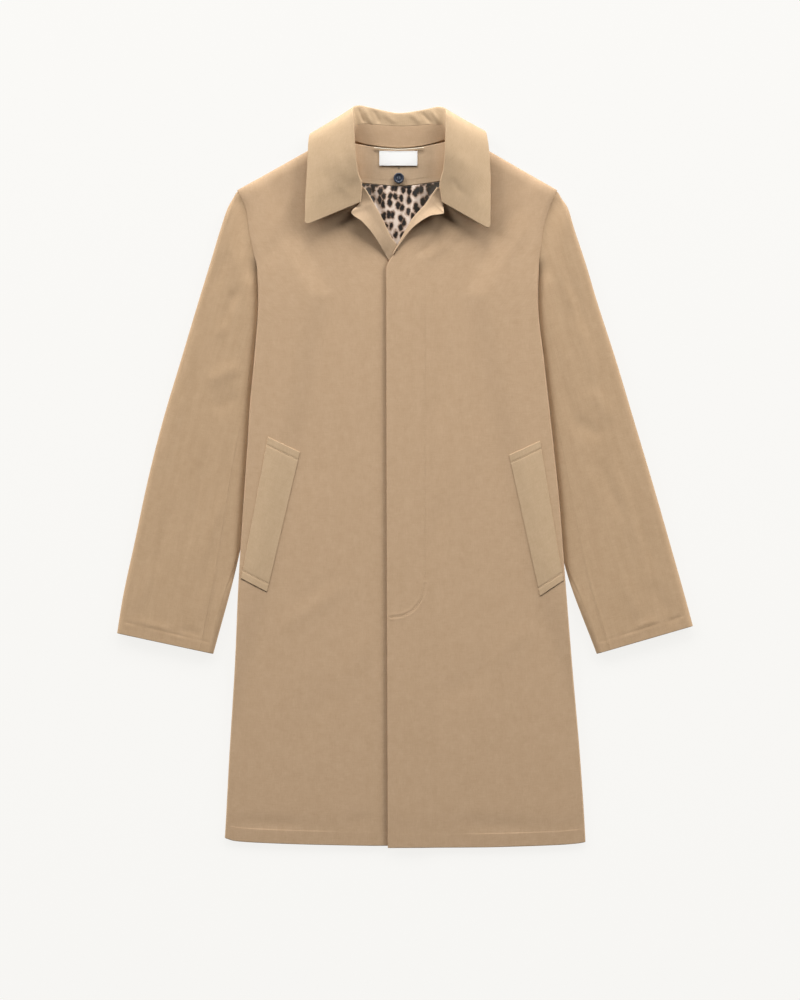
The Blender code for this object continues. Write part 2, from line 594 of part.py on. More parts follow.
# Button: a turned profile with a rim, and four holes
DISH = 0.65 * BUTTON_THICK
BUTTON_PROFILE = (
    (0.0, DISH), (0.62, DISH), (0.74, BUTTON_THICK), (0.9, BUTTON_THICK),
    (1.0, DISH), (0.94, 0.5), (0.8, 0.0), (0.0, 0.0),
)
radius = BUTTON_DIAMETER / 2
turned_mesh = bpy.data.meshes.new("inner_button")
shape = bmesh.new()
ring = [shape.verts.new((share * radius * MM, 0.0, z * MM)) for share, z in BUTTON_PROFILE]
for a, b in zip(ring, ring[1:]):
    shape.edges.new((a, b))
shape.to_mesh(turned_mesh)
shape.free()
button = bpy.data.objects.new("inner_button", turned_mesh)
coat.objects.link(button)
button.data.materials.append(RESIN)
spin = button.modifiers.new("turn", "SCREW")
spin.axis = "Z"
spin.steps = 24
spin.render_steps = 24
spin.use_merge_vertices = True
spin.merge_threshold = 0.00001
button_high = np.array([BUTTON_AT[1] + BUTTON_DIAMETER / 2])
button_floor = float(body_lift(np.array([BUTTON_AT[0]]), button_high)[0]) + WALL + 2 * SEAM + FACING_WALL
button.location = (BUTTON_AT[0] * MM, (BUTTON_AT[1] - CENTRE_Y) * MM, button_floor * MM)
HOLE_AT = 2.1
for k in range(4):
    bpy.ops.mesh.primitive_cylinder_add(vertices=10, radius=0.9 * MM, depth=12 * MM)
    cutter = bpy.context.object
    cutter.name = "hole_" + str(k + 1)
    angle = math.pi / 4 + k * math.pi / 2
    cutter.location = (
        button.location.x + HOLE_AT * math.cos(angle) * MM,
        button.location.y + HOLE_AT * math.sin(angle) * MM,
        button.location.z,
    )
    for home in list(cutter.users_collection):
        home.objects.unlink(cutter)
    tools.objects.link(cutter)
    cutter.hide_render = True
    cutter.display_type = "WIRE"
    cut = button.modifiers.new("hole", "BOOLEAN")
    cut.operation = "DIFFERENCE"
    cut.object = cutter


# Pocket welts, laid on the fronts
def welt(side):
    corner = {name: np.array(at, float) for name, at in WELT[side].items()}
    f = np.linspace(0.0, 1.0, 9)[:, None, None]
    g = np.array([0.0, 0.35, 0.65, 0.85, 0.95, 1.0])[None, :, None]
    low = corner["low_in"] * (1 - g) + corner["low_out"] * g
    high = corner["top_in"] * (1 - g) + corner["top_out"] * g
    plan = low * (1 - f) + high * f
    z = front_height(side, plan[..., 0], plan[..., 1]) + SEAM + 0.15
    points = np.concatenate([plan, z[..., None]], axis=-1)
    cloth("pocket_welt_" + side, points, WELT_WALL, 1, GABARDINE, turned=side == "right")


welt("right")
welt("left")
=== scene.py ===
# %% [markdown]
# # A gabardine coat, laid flat
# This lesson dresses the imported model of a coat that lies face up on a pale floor. The model's solids are
# plain walls of cloth. Here each of them gets a finer sheet of the same form, with soft edges, creases and
# stitching, and a material that is worked out from the real cloth. Every size is in millimetres until a mesh
# is made, because that is how a pattern cutter measures. CENTRE_Y is the pattern's Y at the model's origin.

import bpy
import numpy as np
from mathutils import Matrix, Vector


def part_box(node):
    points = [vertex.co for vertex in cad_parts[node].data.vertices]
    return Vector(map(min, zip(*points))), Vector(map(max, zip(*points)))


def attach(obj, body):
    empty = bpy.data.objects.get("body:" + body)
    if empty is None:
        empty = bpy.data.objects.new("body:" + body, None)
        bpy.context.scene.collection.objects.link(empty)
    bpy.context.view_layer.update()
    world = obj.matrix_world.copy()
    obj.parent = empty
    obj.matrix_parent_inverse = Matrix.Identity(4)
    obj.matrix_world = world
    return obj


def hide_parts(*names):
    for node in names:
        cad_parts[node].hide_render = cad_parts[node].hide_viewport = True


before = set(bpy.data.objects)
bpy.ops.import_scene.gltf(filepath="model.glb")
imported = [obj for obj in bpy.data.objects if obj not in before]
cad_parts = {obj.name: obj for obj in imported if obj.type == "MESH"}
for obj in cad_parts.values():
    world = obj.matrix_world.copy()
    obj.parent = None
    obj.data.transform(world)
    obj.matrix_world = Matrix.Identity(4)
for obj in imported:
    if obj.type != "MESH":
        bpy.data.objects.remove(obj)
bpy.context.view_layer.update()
MM = 0.001
CENTRE_Y = -0.95

# %% [markdown]
# ## Camera
# The coat was photographed from straight above, so the camera looks down the Z axis with the collar at the
# top of the picture. A long lens from far away keeps the raised collar at nearly the same scale as the hem.
# The picture shows a field 1.16 m wide and 1.45 m high, so the focal length follows from the distance.

# %% Camera
VIEW_HEIGHT = 1450.0
VIEW_CENTRE = (-7.25, -34.8)
CAMERA_FAR = 6000.0
COAT_FACE = 6.0
SENSOR = 36.0
lens = bpy.data.cameras.new("camera")
lens.sensor_width = SENSOR
lens.lens = SENSOR * CAMERA_FAR / VIEW_HEIGHT
lens.clip_end = 50.0
camera = bpy.data.objects.new("camera", lens)
camera_y = VIEW_CENTRE[1] - CENTRE_Y
camera.location = (VIEW_CENTRE[0] * MM, camera_y * MM, (CAMERA_FAR + COAT_FACE) * MM)
bpy.context.scene.collection.objects.link(camera)
bpy.context.scene.camera = camera
print("lens:", round(lens.lens, 1), "mm")

# %% [markdown]
# ## Helpers for shapes
# A coat is drafted from lines with a few measured points. `curve` joins such points without overshooting, so
# a seam never bulges between two of them. `along` reads a line by its share of length, and `patch` fills the
# area between four lines: together they turn a paper pattern into a grid of points.


# %% Lines and patches
def ease(q):
    """A smooth step: 3q^2 - 2q^3 for q from 0 to 1."""
    q = np.clip(q, 0.0, 1.0)
    return q * q * (3.0 - 2.0 * q)


def quarter(q):
    """A quarter circle: the square root of 1 - (1 - q)^2, for q from 0 at its foot to 1 at its top."""
    q = np.clip(q, 0.0, 1.0)
    return np.sqrt(1.0 - (1.0 - q) ** 2)


def bell(d, width):
    """exp(-(d / width)^2): 1 on a line and nearly 0 at twice the width from it."""
    return np.exp(-((d / width) ** 2))


def unit(v):
    """Vectors of length 1 along v."""
    return v / np.maximum(np.linalg.norm(v, axis=-1, keepdims=True), 1e-9)


def raised(plan, z):
    """The points of a plan, with their heights."""
    return np.concatenate([plan, z[..., None]], axis=-1)


def curve(knots, values, q):
    """A cubic through values at knots; each slope is the harmonic mean of its neighbours, or 0 at a peak."""
    knots = np.asarray(knots, float)
    values = np.asarray(values, float).reshape(len(knots), -1)
    step = np.diff(knots)[:, None]
    slope = np.diff(values, axis=0) / step
    tangent = np.zeros_like(values)
    tangent[0] = slope[0]
    tangent[-1] = slope[-1]
    same = slope[1:] * slope[:-1] > 0
    total = np.where(same, slope[1:] + slope[:-1], 1.0)
    tangent[1:-1] = np.where(same, 2.0 * slope[1:] * slope[:-1] / total, 0.0)
    q = np.clip(np.asarray(q, float), knots[0], knots[-1])
    i = np.clip(np.searchsorted(knots, q, side="right") - 1, 0, len(knots) - 2)
    h = step[i, 0]
    f = ((q - knots[i]) / h)[..., None]
    h = h[..., None]
    a = values[i] * (1 + 2 * f) * (1 - f) ** 2 + values[i + 1] * f * f * (3 - 2 * f)
    b = tangent[i] * h * f * (1 - f) ** 2 + tangent[i + 1] * h * f * f * (f - 1)
    return np.squeeze(a + b, axis=-1) if values.shape[1] == 1 else a + b


def run_length(points):
    """Distance of each point of a line from its first point."""
    return np.pad(np.cumsum(np.linalg.norm(np.diff(points, axis=0), axis=1)), (1, 0))


def along(points, q):
    """The point at the share q of the length of a line through points."""
    points = np.asarray(points, float)
    reach = run_length(points)
    return curve(reach / reach[-1], points, q)


def patch(low, high, left, right, s, t):
    """A Coons patch: the two ruled surfaces between opposite edges, added, less the one between corners."""
    s1 = s[..., None]
    t1 = t[..., None]
    across = (1 - t1) * low(s) + t1 * high(s)
    up = (1 - s1) * left(t) + s1 * right(t)
    zero = np.zeros(1)
    one = np.ones(1)
    corners = (1 - s1) * (1 - t1) * low(zero) + s1 * (1 - t1) * low(one)
    corners = corners + (1 - s1) * t1 * high(zero) + s1 * t1 * high(one)
    return across + up - corners


EDGE_ROLL = 0.9


def shares(length, spacing, edge=EDGE_ROLL, extra=()):
    """Shares of a length: spacing apart, and close together within edge of either end, plus extra places."""
    close = np.array([0.0, 0.05, 0.18, 0.4, 0.7, 1.0, 1.6]) * edge
    middle = np.linspace(3.0 * edge, length - 3.0 * edge, max(2, int(length / spacing)))
    at = np.concatenate([close, middle, length - close, np.asarray(extra, float)])
    return np.unique(np.round(np.clip(at / length, 0.0, 1.0), 6))


# %% [markdown]
# ## A sheet of cloth
# Cloth that is turned in at its edges has no sharp rim: it closes in a small roll. So a sheet is made as two
# grids, half a wall above and below the given points, which draw together along the border and share its
# points there. That closes the sheet without a rim, and seams between two sheets become soft grooves. The UV
# map is the cut itself: metres along the rows and columns, so that a weave follows the cloth.


# %% Cloth sheets
def lengths(points):
    """Distance of each grid point from its row's first point and from its column's first point."""
    across = np.cumsum(np.linalg.norm(np.diff(points, axis=1), axis=2), axis=1)
    up = np.cumsum(np.linalg.norm(np.diff(points, axis=0), axis=2), axis=0)
    return np.pad(across, ((0, 0), (1, 0))), np.pad(up, ((1, 0), (0, 0)))


def normals(points, turned):
    """Unit normals of a grid: the cross product of its two directions."""
    n = unit(np.cross(np.gradient(points, axis=1), np.gradient(points, axis=0)))
    return -n if turned else n


def put_mesh(name, points, faces, uv, finish):
    """A mesh object at the origin from points in millimetres, quads, and a UV in metres for each point."""
    mesh = bpy.data.meshes.new(name)
    placed = (points - np.array([0.0, CENTRE_Y, 0.0])) * MM
    mesh.vertices.add(len(placed))
    mesh.vertices.foreach_set("co", placed.astype(np.float32).ravel())
    mesh.loops.add(faces.size)
    mesh.loops.foreach_set("vertex_index", faces.astype(np.int32).ravel())
    mesh.polygons.add(len(faces))
    mesh.polygons.foreach_set("loop_start", np.arange(len(faces), dtype=np.int32) * faces.shape[1])
    layer = mesh.uv_layers.new(name="cut")
    layer.data.foreach_set("uv", uv[faces.ravel()].astype(np.float32).ravel())
    mesh.update(calc_edges=True)
    mesh.validate()
    mesh.shade_smooth()
    piece = bpy.data.objects.new(name, mesh)
    bpy.context.scene.collection.objects.link(piece)
    piece.data.materials.append(finish)
    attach(piece, "root")
    return piece


def quads_of(index):
    """The quads of a grid of point numbers."""
    quads = np.stack([index[:-1, :-1], index[:-1, 1:], index[1:, 1:], index[1:, :-1]], axis=-1)
    return quads.reshape(-1, 4)


def cloth(node, points, wall, lie, finish, turned=False, edge=EDGE_ROLL):
    """Two grids at the points plus and minus half a wall along the normals. Over the last edge millimetres
    the wall shrinks as a quarter circle, and the border is shared. lie is -1, 0 or 1 for a wall under, about
    or over the points. The sheet takes the place of the model's node of that name."""
    u, v = lengths(points)
    ends = np.stack([u, u[:, -1:] - u, v, v[-1:] - v])
    radius = np.broadcast_to(np.asarray(edge, float), 4)[:, None, None]
    half = quarter(ends / radius).min(axis=0)[..., None] * wall / 2
    n = normals(points, turned)
    middle = points + n * wall / 2 * lie
    top = middle + n * half
    low = middle - n * half
    rows, columns = u.shape
    index = np.arange(rows * columns).reshape(rows, columns)
    inner = index.copy()
    inner[1:-1, 1:-1] = rows * columns + np.arange((rows - 2) * (columns - 2)).reshape(rows - 2, columns - 2)
    faces = np.concatenate([quads_of(index), quads_of(inner)[:, ::-1]])
    faces = faces[:, ::-1] if turned else faces
    uv = np.stack([u, v], axis=-1) * MM
    all_points = np.concatenate([top.reshape(-1, 3), low[1:-1, 1:-1].reshape(-1, 3)])
    all_uv = np.concatenate([uv.reshape(-1, 2), uv[1:-1, 1:-1].reshape(-1, 2)])
    piece = put_mesh("cloth_" + node, all_points, faces, all_uv, finish)
    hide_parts(node)
    a = points[:-1, :-1] - points[1:, 1:]
    b = points[:-1, 1:] - points[1:, :-1]
    area = np.linalg.norm(np.cross(a, b), axis=2).sum() / 2 * MM * MM
    size = (float(u.max()) * MM, float(v.max()) * MM)
    area = min(float(area), size[0] * size[1])
    print(piece.name, "cut", [round(x, 3) for x in size], "area", round(area, 4), "faces", len(faces))


# %% [markdown]
# ## Helpers for finishes
# Colours are written as sRGB hex values, as they are read from a colour card, and turned to linear values
# once. One function adds a shader node with its settings and links, so each finish below reads as a list.
# Cord, resin and thread differ only in colours, grain and gloss, so one function makes them all.


# %% Colours and nodes
def colour(text):
    """An sRGB hex colour as linear values: v / 12.92 when small, else ((v + 0.055) / 1.055)^2.4."""
    values = np.array([int(text[i:i + 2], 16) for i in (0, 2, 4)]) / 255.0
    linear = np.where(values <= 0.04045, values / 12.92, ((values + 0.055) / 1.055) ** 2.4)
    return (*linear.tolist(), 1.0)


def add(tree, kind, inputs=None, **settings):
    """Add a shader node. Settings go on the node; inputs are values or sockets for its input sockets."""
    node = tree.nodes.new("ShaderNode" + kind)
    for name, value in settings.items():
        setattr(node, name, value)
    for name, value in (inputs or {}).items():
        if isinstance(value, bpy.types.NodeSocket):
            tree.links.new(value, node.inputs[name])
        else:
            node.inputs[name].default_value = value
    return node


def new_finish(name, roughness, **sockets):
    """A material with the Principled shader, with the values that are the same all over on its sockets."""
    material = bpy.data.materials.new(name)
    material.use_nodes = True
    shader = material.node_tree.nodes["Principled BSDF"]
    shader.inputs["Roughness"].default_value = roughness
    for socket, value in sockets.items():
        shader.inputs[socket.replace("_", " ").title().replace("Ior", "IOR")].default_value = value
    return material, material.node_tree, shader


def grained_finish(name, deep, pale, grain, roughness, detail=2.0, relief=0.0, **sockets):
    """Colour from deep to pale by a noise with a grain in millimetres, which also gives the relief."""
    material, tree, shader = new_finish(name, roughness, **sockets)
    place = add(tree, "TexCoord").outputs["Object"]
    spread = {"Vector": place, "Scale": 1 / (grain * MM), "Detail": detail}
    noise = add(tree, "TexNoise", spread).outputs["Fac"]
    mixed = add(tree, "Mix", {0: noise, 6: colour(deep), 7: colour(pale)}, data_type="RGBA").outputs[2]
    tree.links.new(mixed, shader.inputs["Base Color"])
    if relief:
        bump = add(tree, "Bump", {"Height": noise, "Strength": relief, "Distance": 0.1 * MM}).outputs[0]
        tree.links.new(bump, shader.inputs["Normal"])
    return material


# %% [markdown]
# ## Cotton gabardine
# Gabardine is a tight twill: fine diagonal ribs at about 63 degrees, half a millimetre apart, on a cotton
# that is matt with a faint bloom. The ribs are too fine for the picture, so they are drawn 1.2 mm apart,
# which just shows close up. A mottle of a centimetre or two stands for uneven dyeing and pressing. The ribs
# and the yarn go into the bump as well as the colour, because cloth is seen by its relief.

# %% Cotton gabardine
TWILL_PITCH = 1.2
TWILL_ANGLE = np.radians(63.0)
RIB_SHARE = 0.05
MOTTLE_SHARE = 0.38
# Width and length in millimetres, detail and share of the slubs both ways and of the yarn
GRAINS = ((1.5, 15.0, 1.0, 0.28), (13.0, 1.5, 1.0, 0.28), (0.9, 0.9 / 0.22, 2.0, 0.34))


def gabardine_finish(name, deep, pale, streaks_and_crease_shade=0.12):
    """Colour from deep to pale. A rib is sin(2 pi (u sin a - v cos a) / pitch). Noises drawn out along the
    cut stand for warp streaks, slubs and yarn, and an even noise for mottle. Each adds its share. A large
    share of streaks is painted shade of long creases."""
    sheen = {"sheen_weight": 0.22, "sheen_roughness": 0.45, "sheen_tint": colour("F1E2CC")}
    material, tree, shader = new_finish(name, 0.82, specular_ior_level=0.3, **sheen)
    cut = add(tree, "UVMap", uv_map="cut").outputs["UV"]
    place = add(tree, "TexCoord").outputs["Object"]
    turn = 2.0 * np.pi / (TWILL_PITCH * MM)
    rib_way = (turn * np.sin(TWILL_ANGLE), -turn * np.cos(TWILL_ANGLE), 0.0)
    phase = add(tree, "VectorMath", {0: cut, 1: rib_way}, operation="DOT_PRODUCT").outputs["Value"]
    slow = {"Vector": cut, "Scale": 1 / (9 * MM), "Detail": 1.0}
    wobble = add(tree, "TexNoise", slow).outputs["Fac"]
    phase = add(tree, "Math", {0: wobble, 1: 5.0, 2: phase}, operation="MULTIPLY_ADD").outputs[0]
    rib = add(tree, "Math", {0: phase}, operation="SINE").outputs[0]
    even = {"Vector": place, "Scale": 1 / (13 * MM), "Detail": 4.0, "Roughness": 0.6}
    mottle = add(tree, "TexNoise", even).outputs["Fac"]
    shade = -0.14 - streaks_and_crease_shade / 2
    for part, share in ((rib, RIB_SHARE), (mottle, MOTTLE_SHARE)):
        shade = add(tree, "Math", {0: part, 1: share, 2: shade}, operation="MULTIPLY_ADD").outputs[0]
    for wide, long, detail, share in ((9.0, 110.0, 2.0, streaks_and_crease_shade), *GRAINS):
        scale = (1 / (wide * MM), 1 / (long * MM), 1.0)
        drawn = add(tree, "Mapping", {"Vector": cut, "Scale": scale}).outputs[0]
        yarn = add(tree, "TexNoise", {"Vector": drawn, "Scale": 1.0, "Detail": detail}).outputs["Fac"]
        shade = add(tree, "Math", {0: yarn, 1: share, 2: shade}, operation="MULTIPLY_ADD").outputs[0]
    mixed = add(tree, "Mix", {0: shade, 6: colour(deep), 7: colour(pale)}, data_type="RGBA").outputs[2]
    tree.links.new(mixed, shader.inputs["Base Color"])
    relief = add(tree, "Math", {0: rib, 1: 0.35, 2: yarn}, operation="MULTIPLY_ADD").outputs[0]
    bump = add(tree, "Bump", {"Height": relief, "Strength": 0.35, "Distance": 0.12 * MM}).outputs[0]
    tree.links.new(bump, shader.inputs["Normal"])
    return material


GABARDINE = gabardine_finish("cotton_gabardine", "AE8F6D", "CFB192")
# The sleeves get the same gabardine painted darker, with strong streaks: painted shade of the sleeves and
# their long creases.
SLEEVE_PAINTED_SHADE = gabardine_finish("cotton_gabardine_sleeve_painted_shade", "AB8C6A", "CCAE8D", streaks_and_crease_shade=0.34)
# The facings get the same gabardine painted darker: painted shade that offsets the light their tilted lapels
# catch.
FACING_PAINTED_SHADE = gabardine_finish("cotton_gabardine_facing_painted_shade", "A3886B", "C4AA8D")
# The back neck facing gets the same gabardine painted lighter: painted light against the shadow inside the
# neck.
NECK_PAINTED_LIGHT = gabardine_finish("cotton_gabardine_neck_painted_light", "B6997A", "D8BD9E")
# The collar's leaf and the welts get the same gabardine painted lighter: painted light of the brightly lit
# collar.
COLLAR_PAINTED_LIGHT = gabardine_finish("cotton_gabardine_collar_painted_light", "B39674", "D4B998")
print("finishes:", GABARDINE.name, FACING_PAINTED_SHADE.name, SLEEVE_PAINTED_SHADE.name, NECK_PAINTED_LIGHT.name, COLLAR_PAINTED_LIGHT.name)

# %% [markdown]
# ## Floor and light
# The coat lies on a plain pale floor. A large soft light stands low beyond its collar, with another on each
# side, so that shadows fall towards the hem. The floor glows a little by itself, as a white table lit from
# all round does, so that it stays evenly pale while the light falls off from the collar to the hem.

# %% Floor and light
FLOOR_REACH = 16000.0
FLOOR_DOWN = -0.3
floor_paint, _, floor_shader = new_finish("pale_floor", 0.9, specular_ior_level=0.1)
floor_shader.inputs["Base Color"].default_value = colour("504F4F")
floor_shader.inputs["Emission Color"].default_value = colour("FFFEFB")
floor_shader.inputs["Emission Strength"].default_value = 0.865
floor_lines = np.linspace(-FLOOR_REACH, FLOOR_REACH, 9)
floor_grid = raised(np.stack(np.meshgrid(floor_lines, floor_lines), axis=-1), np.full((9, 9), FLOOR_DOWN))
floor_faces = quads_of(np.arange(81).reshape(9, 9))
floor_mesh = bpy.data.meshes.new("stage_floor")
floor_mesh.from_pydata((floor_grid.reshape(-1, 3) * MM).tolist(), [], floor_faces.tolist())
floor = bpy.data.objects.new("stage_floor", floor_mesh)
floor.data.materials.append(floor_paint)
bpy.context.scene.collection.objects.link(floor)


def soft_light(name, at, aim, size, power, tint):
    """A rectangular light of a size in metres, at a point and turned to face another."""
    lamp = bpy.data.lights.new(name, "AREA")
    lamp.shape = "RECTANGLE"
    lamp.size, lamp.size_y = size
    lamp.energy = power
    lamp.color = colour(tint)[:3]
    holder = bpy.data.objects.new(name, lamp)
    holder.location = at
    holder.rotation_euler = (Vector(aim) - Vector(at)).to_track_quat("-Z", "Y").to_euler()
    bpy.context.scene.collection.objects.link(holder)


soft_light("light_collar", (0.0, 8.0, 3.1), (0.0, 0.1, 0.0), (4.5, 2.7), 655.0, "FFFEFB")
soft_light("light_right", (-5.0, 4.6, 2.55), (0.0, 0.0, 0.0), (3.6, 3.4), 470.0, "FFFFFF")
soft_light("light_left", (5.0, 4.6, 2.55), (0.0, 0.0, 0.0), (3.6, 3.4), 470.0, "FFFFFF")
room = bpy.data.worlds.new("pale_room")
room.use_nodes = True
room.node_tree.nodes["Background"].inputs["Color"].default_value = colour("FFFFFF")
room.node_tree.nodes["Background"].inputs["Strength"].default_value = 0.045
bpy.context.scene.world = room
bpy.context.scene.view_settings.view_transform = "Standard"

# %% [markdown]
# ## The pattern
# These are the coat's lines, as they lie: the sides, the shoulders, the front edges, the neck and the hem.
# They are the lines that the model's solids follow, so the finer sheets fall where the solids are. Only the
# collar's tips and its turn to the back were moved by up to 5 mm after the solids were made. The wearer's
# left is +X. REST gives the height of the fronts at places up the coat. Each row of COLLAR is a section
# through the collar: n is the neck seam, s the seam between stand and leaf, r the crest of the roll and e
# the outer edge. turn is 1 where the leaf folds under.

# %% The pattern's lines
WALL = 1.2
COLLAR_WALL = 1.4
FACING_WALL = 1.2
LINING_WALL = 1.0
WELT_WALL = 0.8
SEAM = 0.3
SEAM_SHOWN = 0.06
SLEEVE_PRESSED = 3.0
SLEEVE_FREE = 10.2
SLEEVE_FALL = (18.0, 54.0)
SLEEVE_SOFT = 34.0
ARMHOLE_DROP = 1.5
ARMHOLE_SOFT = 11.0
ARMHOLE_SLOPE = 0.3
BODY_LIFT = 3.3
COLLAR_LIFT = 2.2
TURN_LIFT = 1.6
LIFT_RAMP = 45.0
SIDE_ROLL = 2.2
SHOULDER_ROLL = 16.0
ROLL_FOOT = 0.8
NECK_RISE = 3.4
LAP_UNDER = 2.4
LAP_DIP = 26.0
FRONT_EDGE_X = -26.0
LAP_OVER = 2.5
SIDE_SWELL = 0.9
UNDERLAP_X = 15.0
NECK_MIDDLE_X = -9.0
LIFT_PAST = 20.0
ARMHOLE_FOOT = 275.0
ABOVE_HEM = -524.0
REST = (
    (-540.0, 5.0), (-480.0, 6.4), (-300.0, 7.8), (0.0, 8.4), (230.0, 8.2), (330.0, 7.2), (420.0, 6.2),
    (520.0, 6.2),
)
SIDE_LINE = {
    "right": (
        (-545, -262.6), (-525, -261.6), (-510, -260.6), (-406, -255), (-267, -246.5), (-162, -242),
        (-49, -235), (38, -229), (103, -225), (168, -219), (255, -213), (299, -214.6), (331, -222),
        (364, -227.5), (386, -231), (414.7, -243.6),
    ),
    "left": (
        (-545, 262.8), (-531, 262), (-510, 261), (-406, 254), (-267, 242), (-162, 233.5), (-28, 223),
        (38, 216), (103, 209), (168, 201.6), (255, 193), (299, 194), (331, 197), (364, 202),
        (386, 209), (414.7, 221),
    ),
}
SHOULDER_POINT = {"right": (-243.6, 414.7), "left": (221.0, 414.7)}
NECK_POINT = {"right": (-86.0, 503.0), "left": (68.0, 503.0)}
FRONT_LINE = {
    "right": ((UNDERLAP_X, -536.5), (UNDERLAP_X, 290)),
    "left": ((-25, -539.4), (-27.3, 300)),
}
NECK_LINE = {
    "right": (
        (-5, 318.5), (-17.6, 338), (-28.6, 360.8), (-37.6, 379), (-50.5, 401), (-62.2, 421),
        (-68.4, 427.5), (-73.2, 436), (-78.6, 460), (-82.4, 479), (-86, 503),
    ),
    "left": (
        (-23.5, 311), (-16, 321.5), (-9.8, 332.4), (3.5, 357), (13.2, 372.8), (31.2, 393), (50.4, 421),
        (58.8, 438), (64.6, 462), (67.4, 480), (68, 503),
    ),
}
HEM_LINE = {
    "right": (
        (UNDERLAP_X, -536.5), (-25, -536.5), (-123, -535), (-210, -532), (-246, -529.5), (-261.6, -525),
    ),
    "left": ((-25, -539.4), (109, -538.7), (170, -537.2), (225, -535), (250, -533), (262, -531)),
}
SLEEVE_OUTER = {
    "right": (
        (-417.6, -228), (-410, -180), (-391.5, -93), (-373, -6), (-351, 81), (-325, 168), (-299, 255),
        (-283, 307), (-267, 360), (-257, 389), (-249.3, 403), (-243.3, 412.5), (-233, 416.5),
    ),
    "left": (
        (417.6, -217.5), (407.5, -180), (383, -93), (358, -6), (332, 81), (306, 168), (278, 255),
        (262.5, 307), (245, 360), (236, 389), (227, 403), (220.8, 412.5), (211, 416.5),
    ),
}
SLEEVE_INNER = {
    "right": ((-278, -258), (-243.6, -128), (-205, 66), (-165, 262), (-157, 266)),
    "left": ((278, -258), (233.5, -136), (189, 66), (145, 262), (137, 266)),
}
SLEEVE_SIDE = {"right": -1.0, "left": 1.0}
HIND_SEAM = 0.18
FORE_SEAM = ((0.0, 0.86), (0.5, 0.76), (1.0, 0.70))
UNDER_COLLAR = (
    (-150, 520), (-137, 496), (-120, 488), (-62, 469), (-8, 463), (44, 469), (101, 490), (116, 500),
    (130, 522),
)
COLLAR = (
    # name              n_x    n_y   n_z    s_x    s_y   s_z    r_x    r_y   r_z     e_x    e_y   e_z  turn
    ("right end",      -58.0, 411.0, 8.0, -64.0, 400.5, 13.5, -66.0, 395.4, 18.0, -145.6, 362.0, 21.0, 0.0),
    ("right gorge",    -60.4, 417.5, 7.8, -62.6, 420.0, 15.5, -65.2, 422.0, 20.6, -144.6, 383.0, 21.0, 0.0),
    ("right front",    -68.4, 432.0, 7.2, -69.0, 436.0, 17.0, -69.5, 440.0, 23.8, -144.5, 396.0, 20.6, 0.0),
    ("right side",     -75.6, 460.0, 7.2, -74.0, 466.0, 20.0, -73.0, 470.0, 26.4, -142.5, 432.0, 19.2, 0.0),
    ("right shoulder", -79.4, 477.0, 6.8, -76.0, 488.0, 20.0, -74.6, 499.0, 25.4, -141.0, 464.0, 17.4, 0.08),
    ("right turn top", -79.0, 486.0, 6.0, -74.5, 501.0, 15.0, -76.6, 520.0, 22.8, -140.0, 484.0, 14.4, 0.3),
    ("right turn",     -71.0, 485.0, 5.2, -70.0, 509.0, 9.5, -77.0, 531.5, 15.0, -137.0, 496.0, 8.0, 0.55),
    ("right under",    -58.0, 481.2, 4.8, -56.0, 510.5, 6.6, -66.0, 536.8, 7.2, -120.0, 488.0, 1.0, 0.85),
    ("right back",     -36.0, 477.8, 4.6, -36.0, 509.0, 5.6, -42.0, 532.0, 5.2, -62.0, 469.0, 0.9, 1.0),
    ("centre back",     -8.0, 475.6, 4.6,  -8.0, 507.2, 5.6,  -8.0, 526.0, 4.6, -8.0, 463.0, 0.9, 1.0),
    ("left back",       20.0, 478.2, 4.6,  20.0, 508.5, 5.6,  25.0, 530.5, 4.6, 44.0, 469.0, 0.9, 1.0),
    ("left under",      42.0, 482.6, 4.8,  40.0, 510.0, 6.6,  49.0, 535.0, 6.8, 101.0, 490.0, 1.0, 0.85),
    ("left turn",       55.5, 486.6, 5.2,  54.0, 509.0, 9.5,  60.0, 530.0, 15.0, 116.0, 499.5, 8.0, 0.55),
    ("left turn top",   64.0, 487.0, 6.0,  59.5, 502.0, 15.0, 60.4, 520.0, 22.8, 120.0, 486.0, 14.4, 0.3),
    ("left shoulder",   65.0, 478.0, 6.8,  61.5, 489.0, 20.0, 59.8, 501.0, 25.4, 122.4, 464.0, 17.4, 0.08),
    ("left side",       62.2, 462.0, 7.2,  60.0, 468.0, 20.0, 59.0, 473.0, 26.4, 123.8, 432.0, 19.2, 0.0),
    ("left front",      56.2, 438.0, 7.2,  57.0, 442.0, 17.0, 57.0, 446.0, 23.8, 124.0, 394.0, 20.6, 0.0),
    ("left gorge",      48.0, 419.5, 7.8,  50.4, 422.0, 15.5, 53.0, 424.0, 20.6, 123.6, 378.0, 21.0, 0.0),
    ("left end",        46.0, 413.0, 8.0,  53.4, 400.5, 13.5, 55.2, 395.4, 18.0, 123.8, 356.0, 21.0, 0.0),
)
BACK_NECK = COLLAR[7:12]
hem_wide = HEM_LINE["left"][-1][0] - HEM_LINE["right"][-1][0]
print("hem:", round(hem_wide, 1), "mm wide, collar sections:", len(COLLAR))

# %% [markdown]
# ## How high the body lies
# The back lies on the floor, and on the sleeves and the folded collar where they reach under it. The fronts
# lie on the back with the lining between. Their sides and shoulders are folds, so the upper face rolls down
# there in a quarter circle.


# %% Heights of the body
def side_x(side, y):
    """The body's outline at the height y."""
    table = np.array(SIDE_LINE[side], float)
    return curve(table[:, 0], table[:, 1], y)


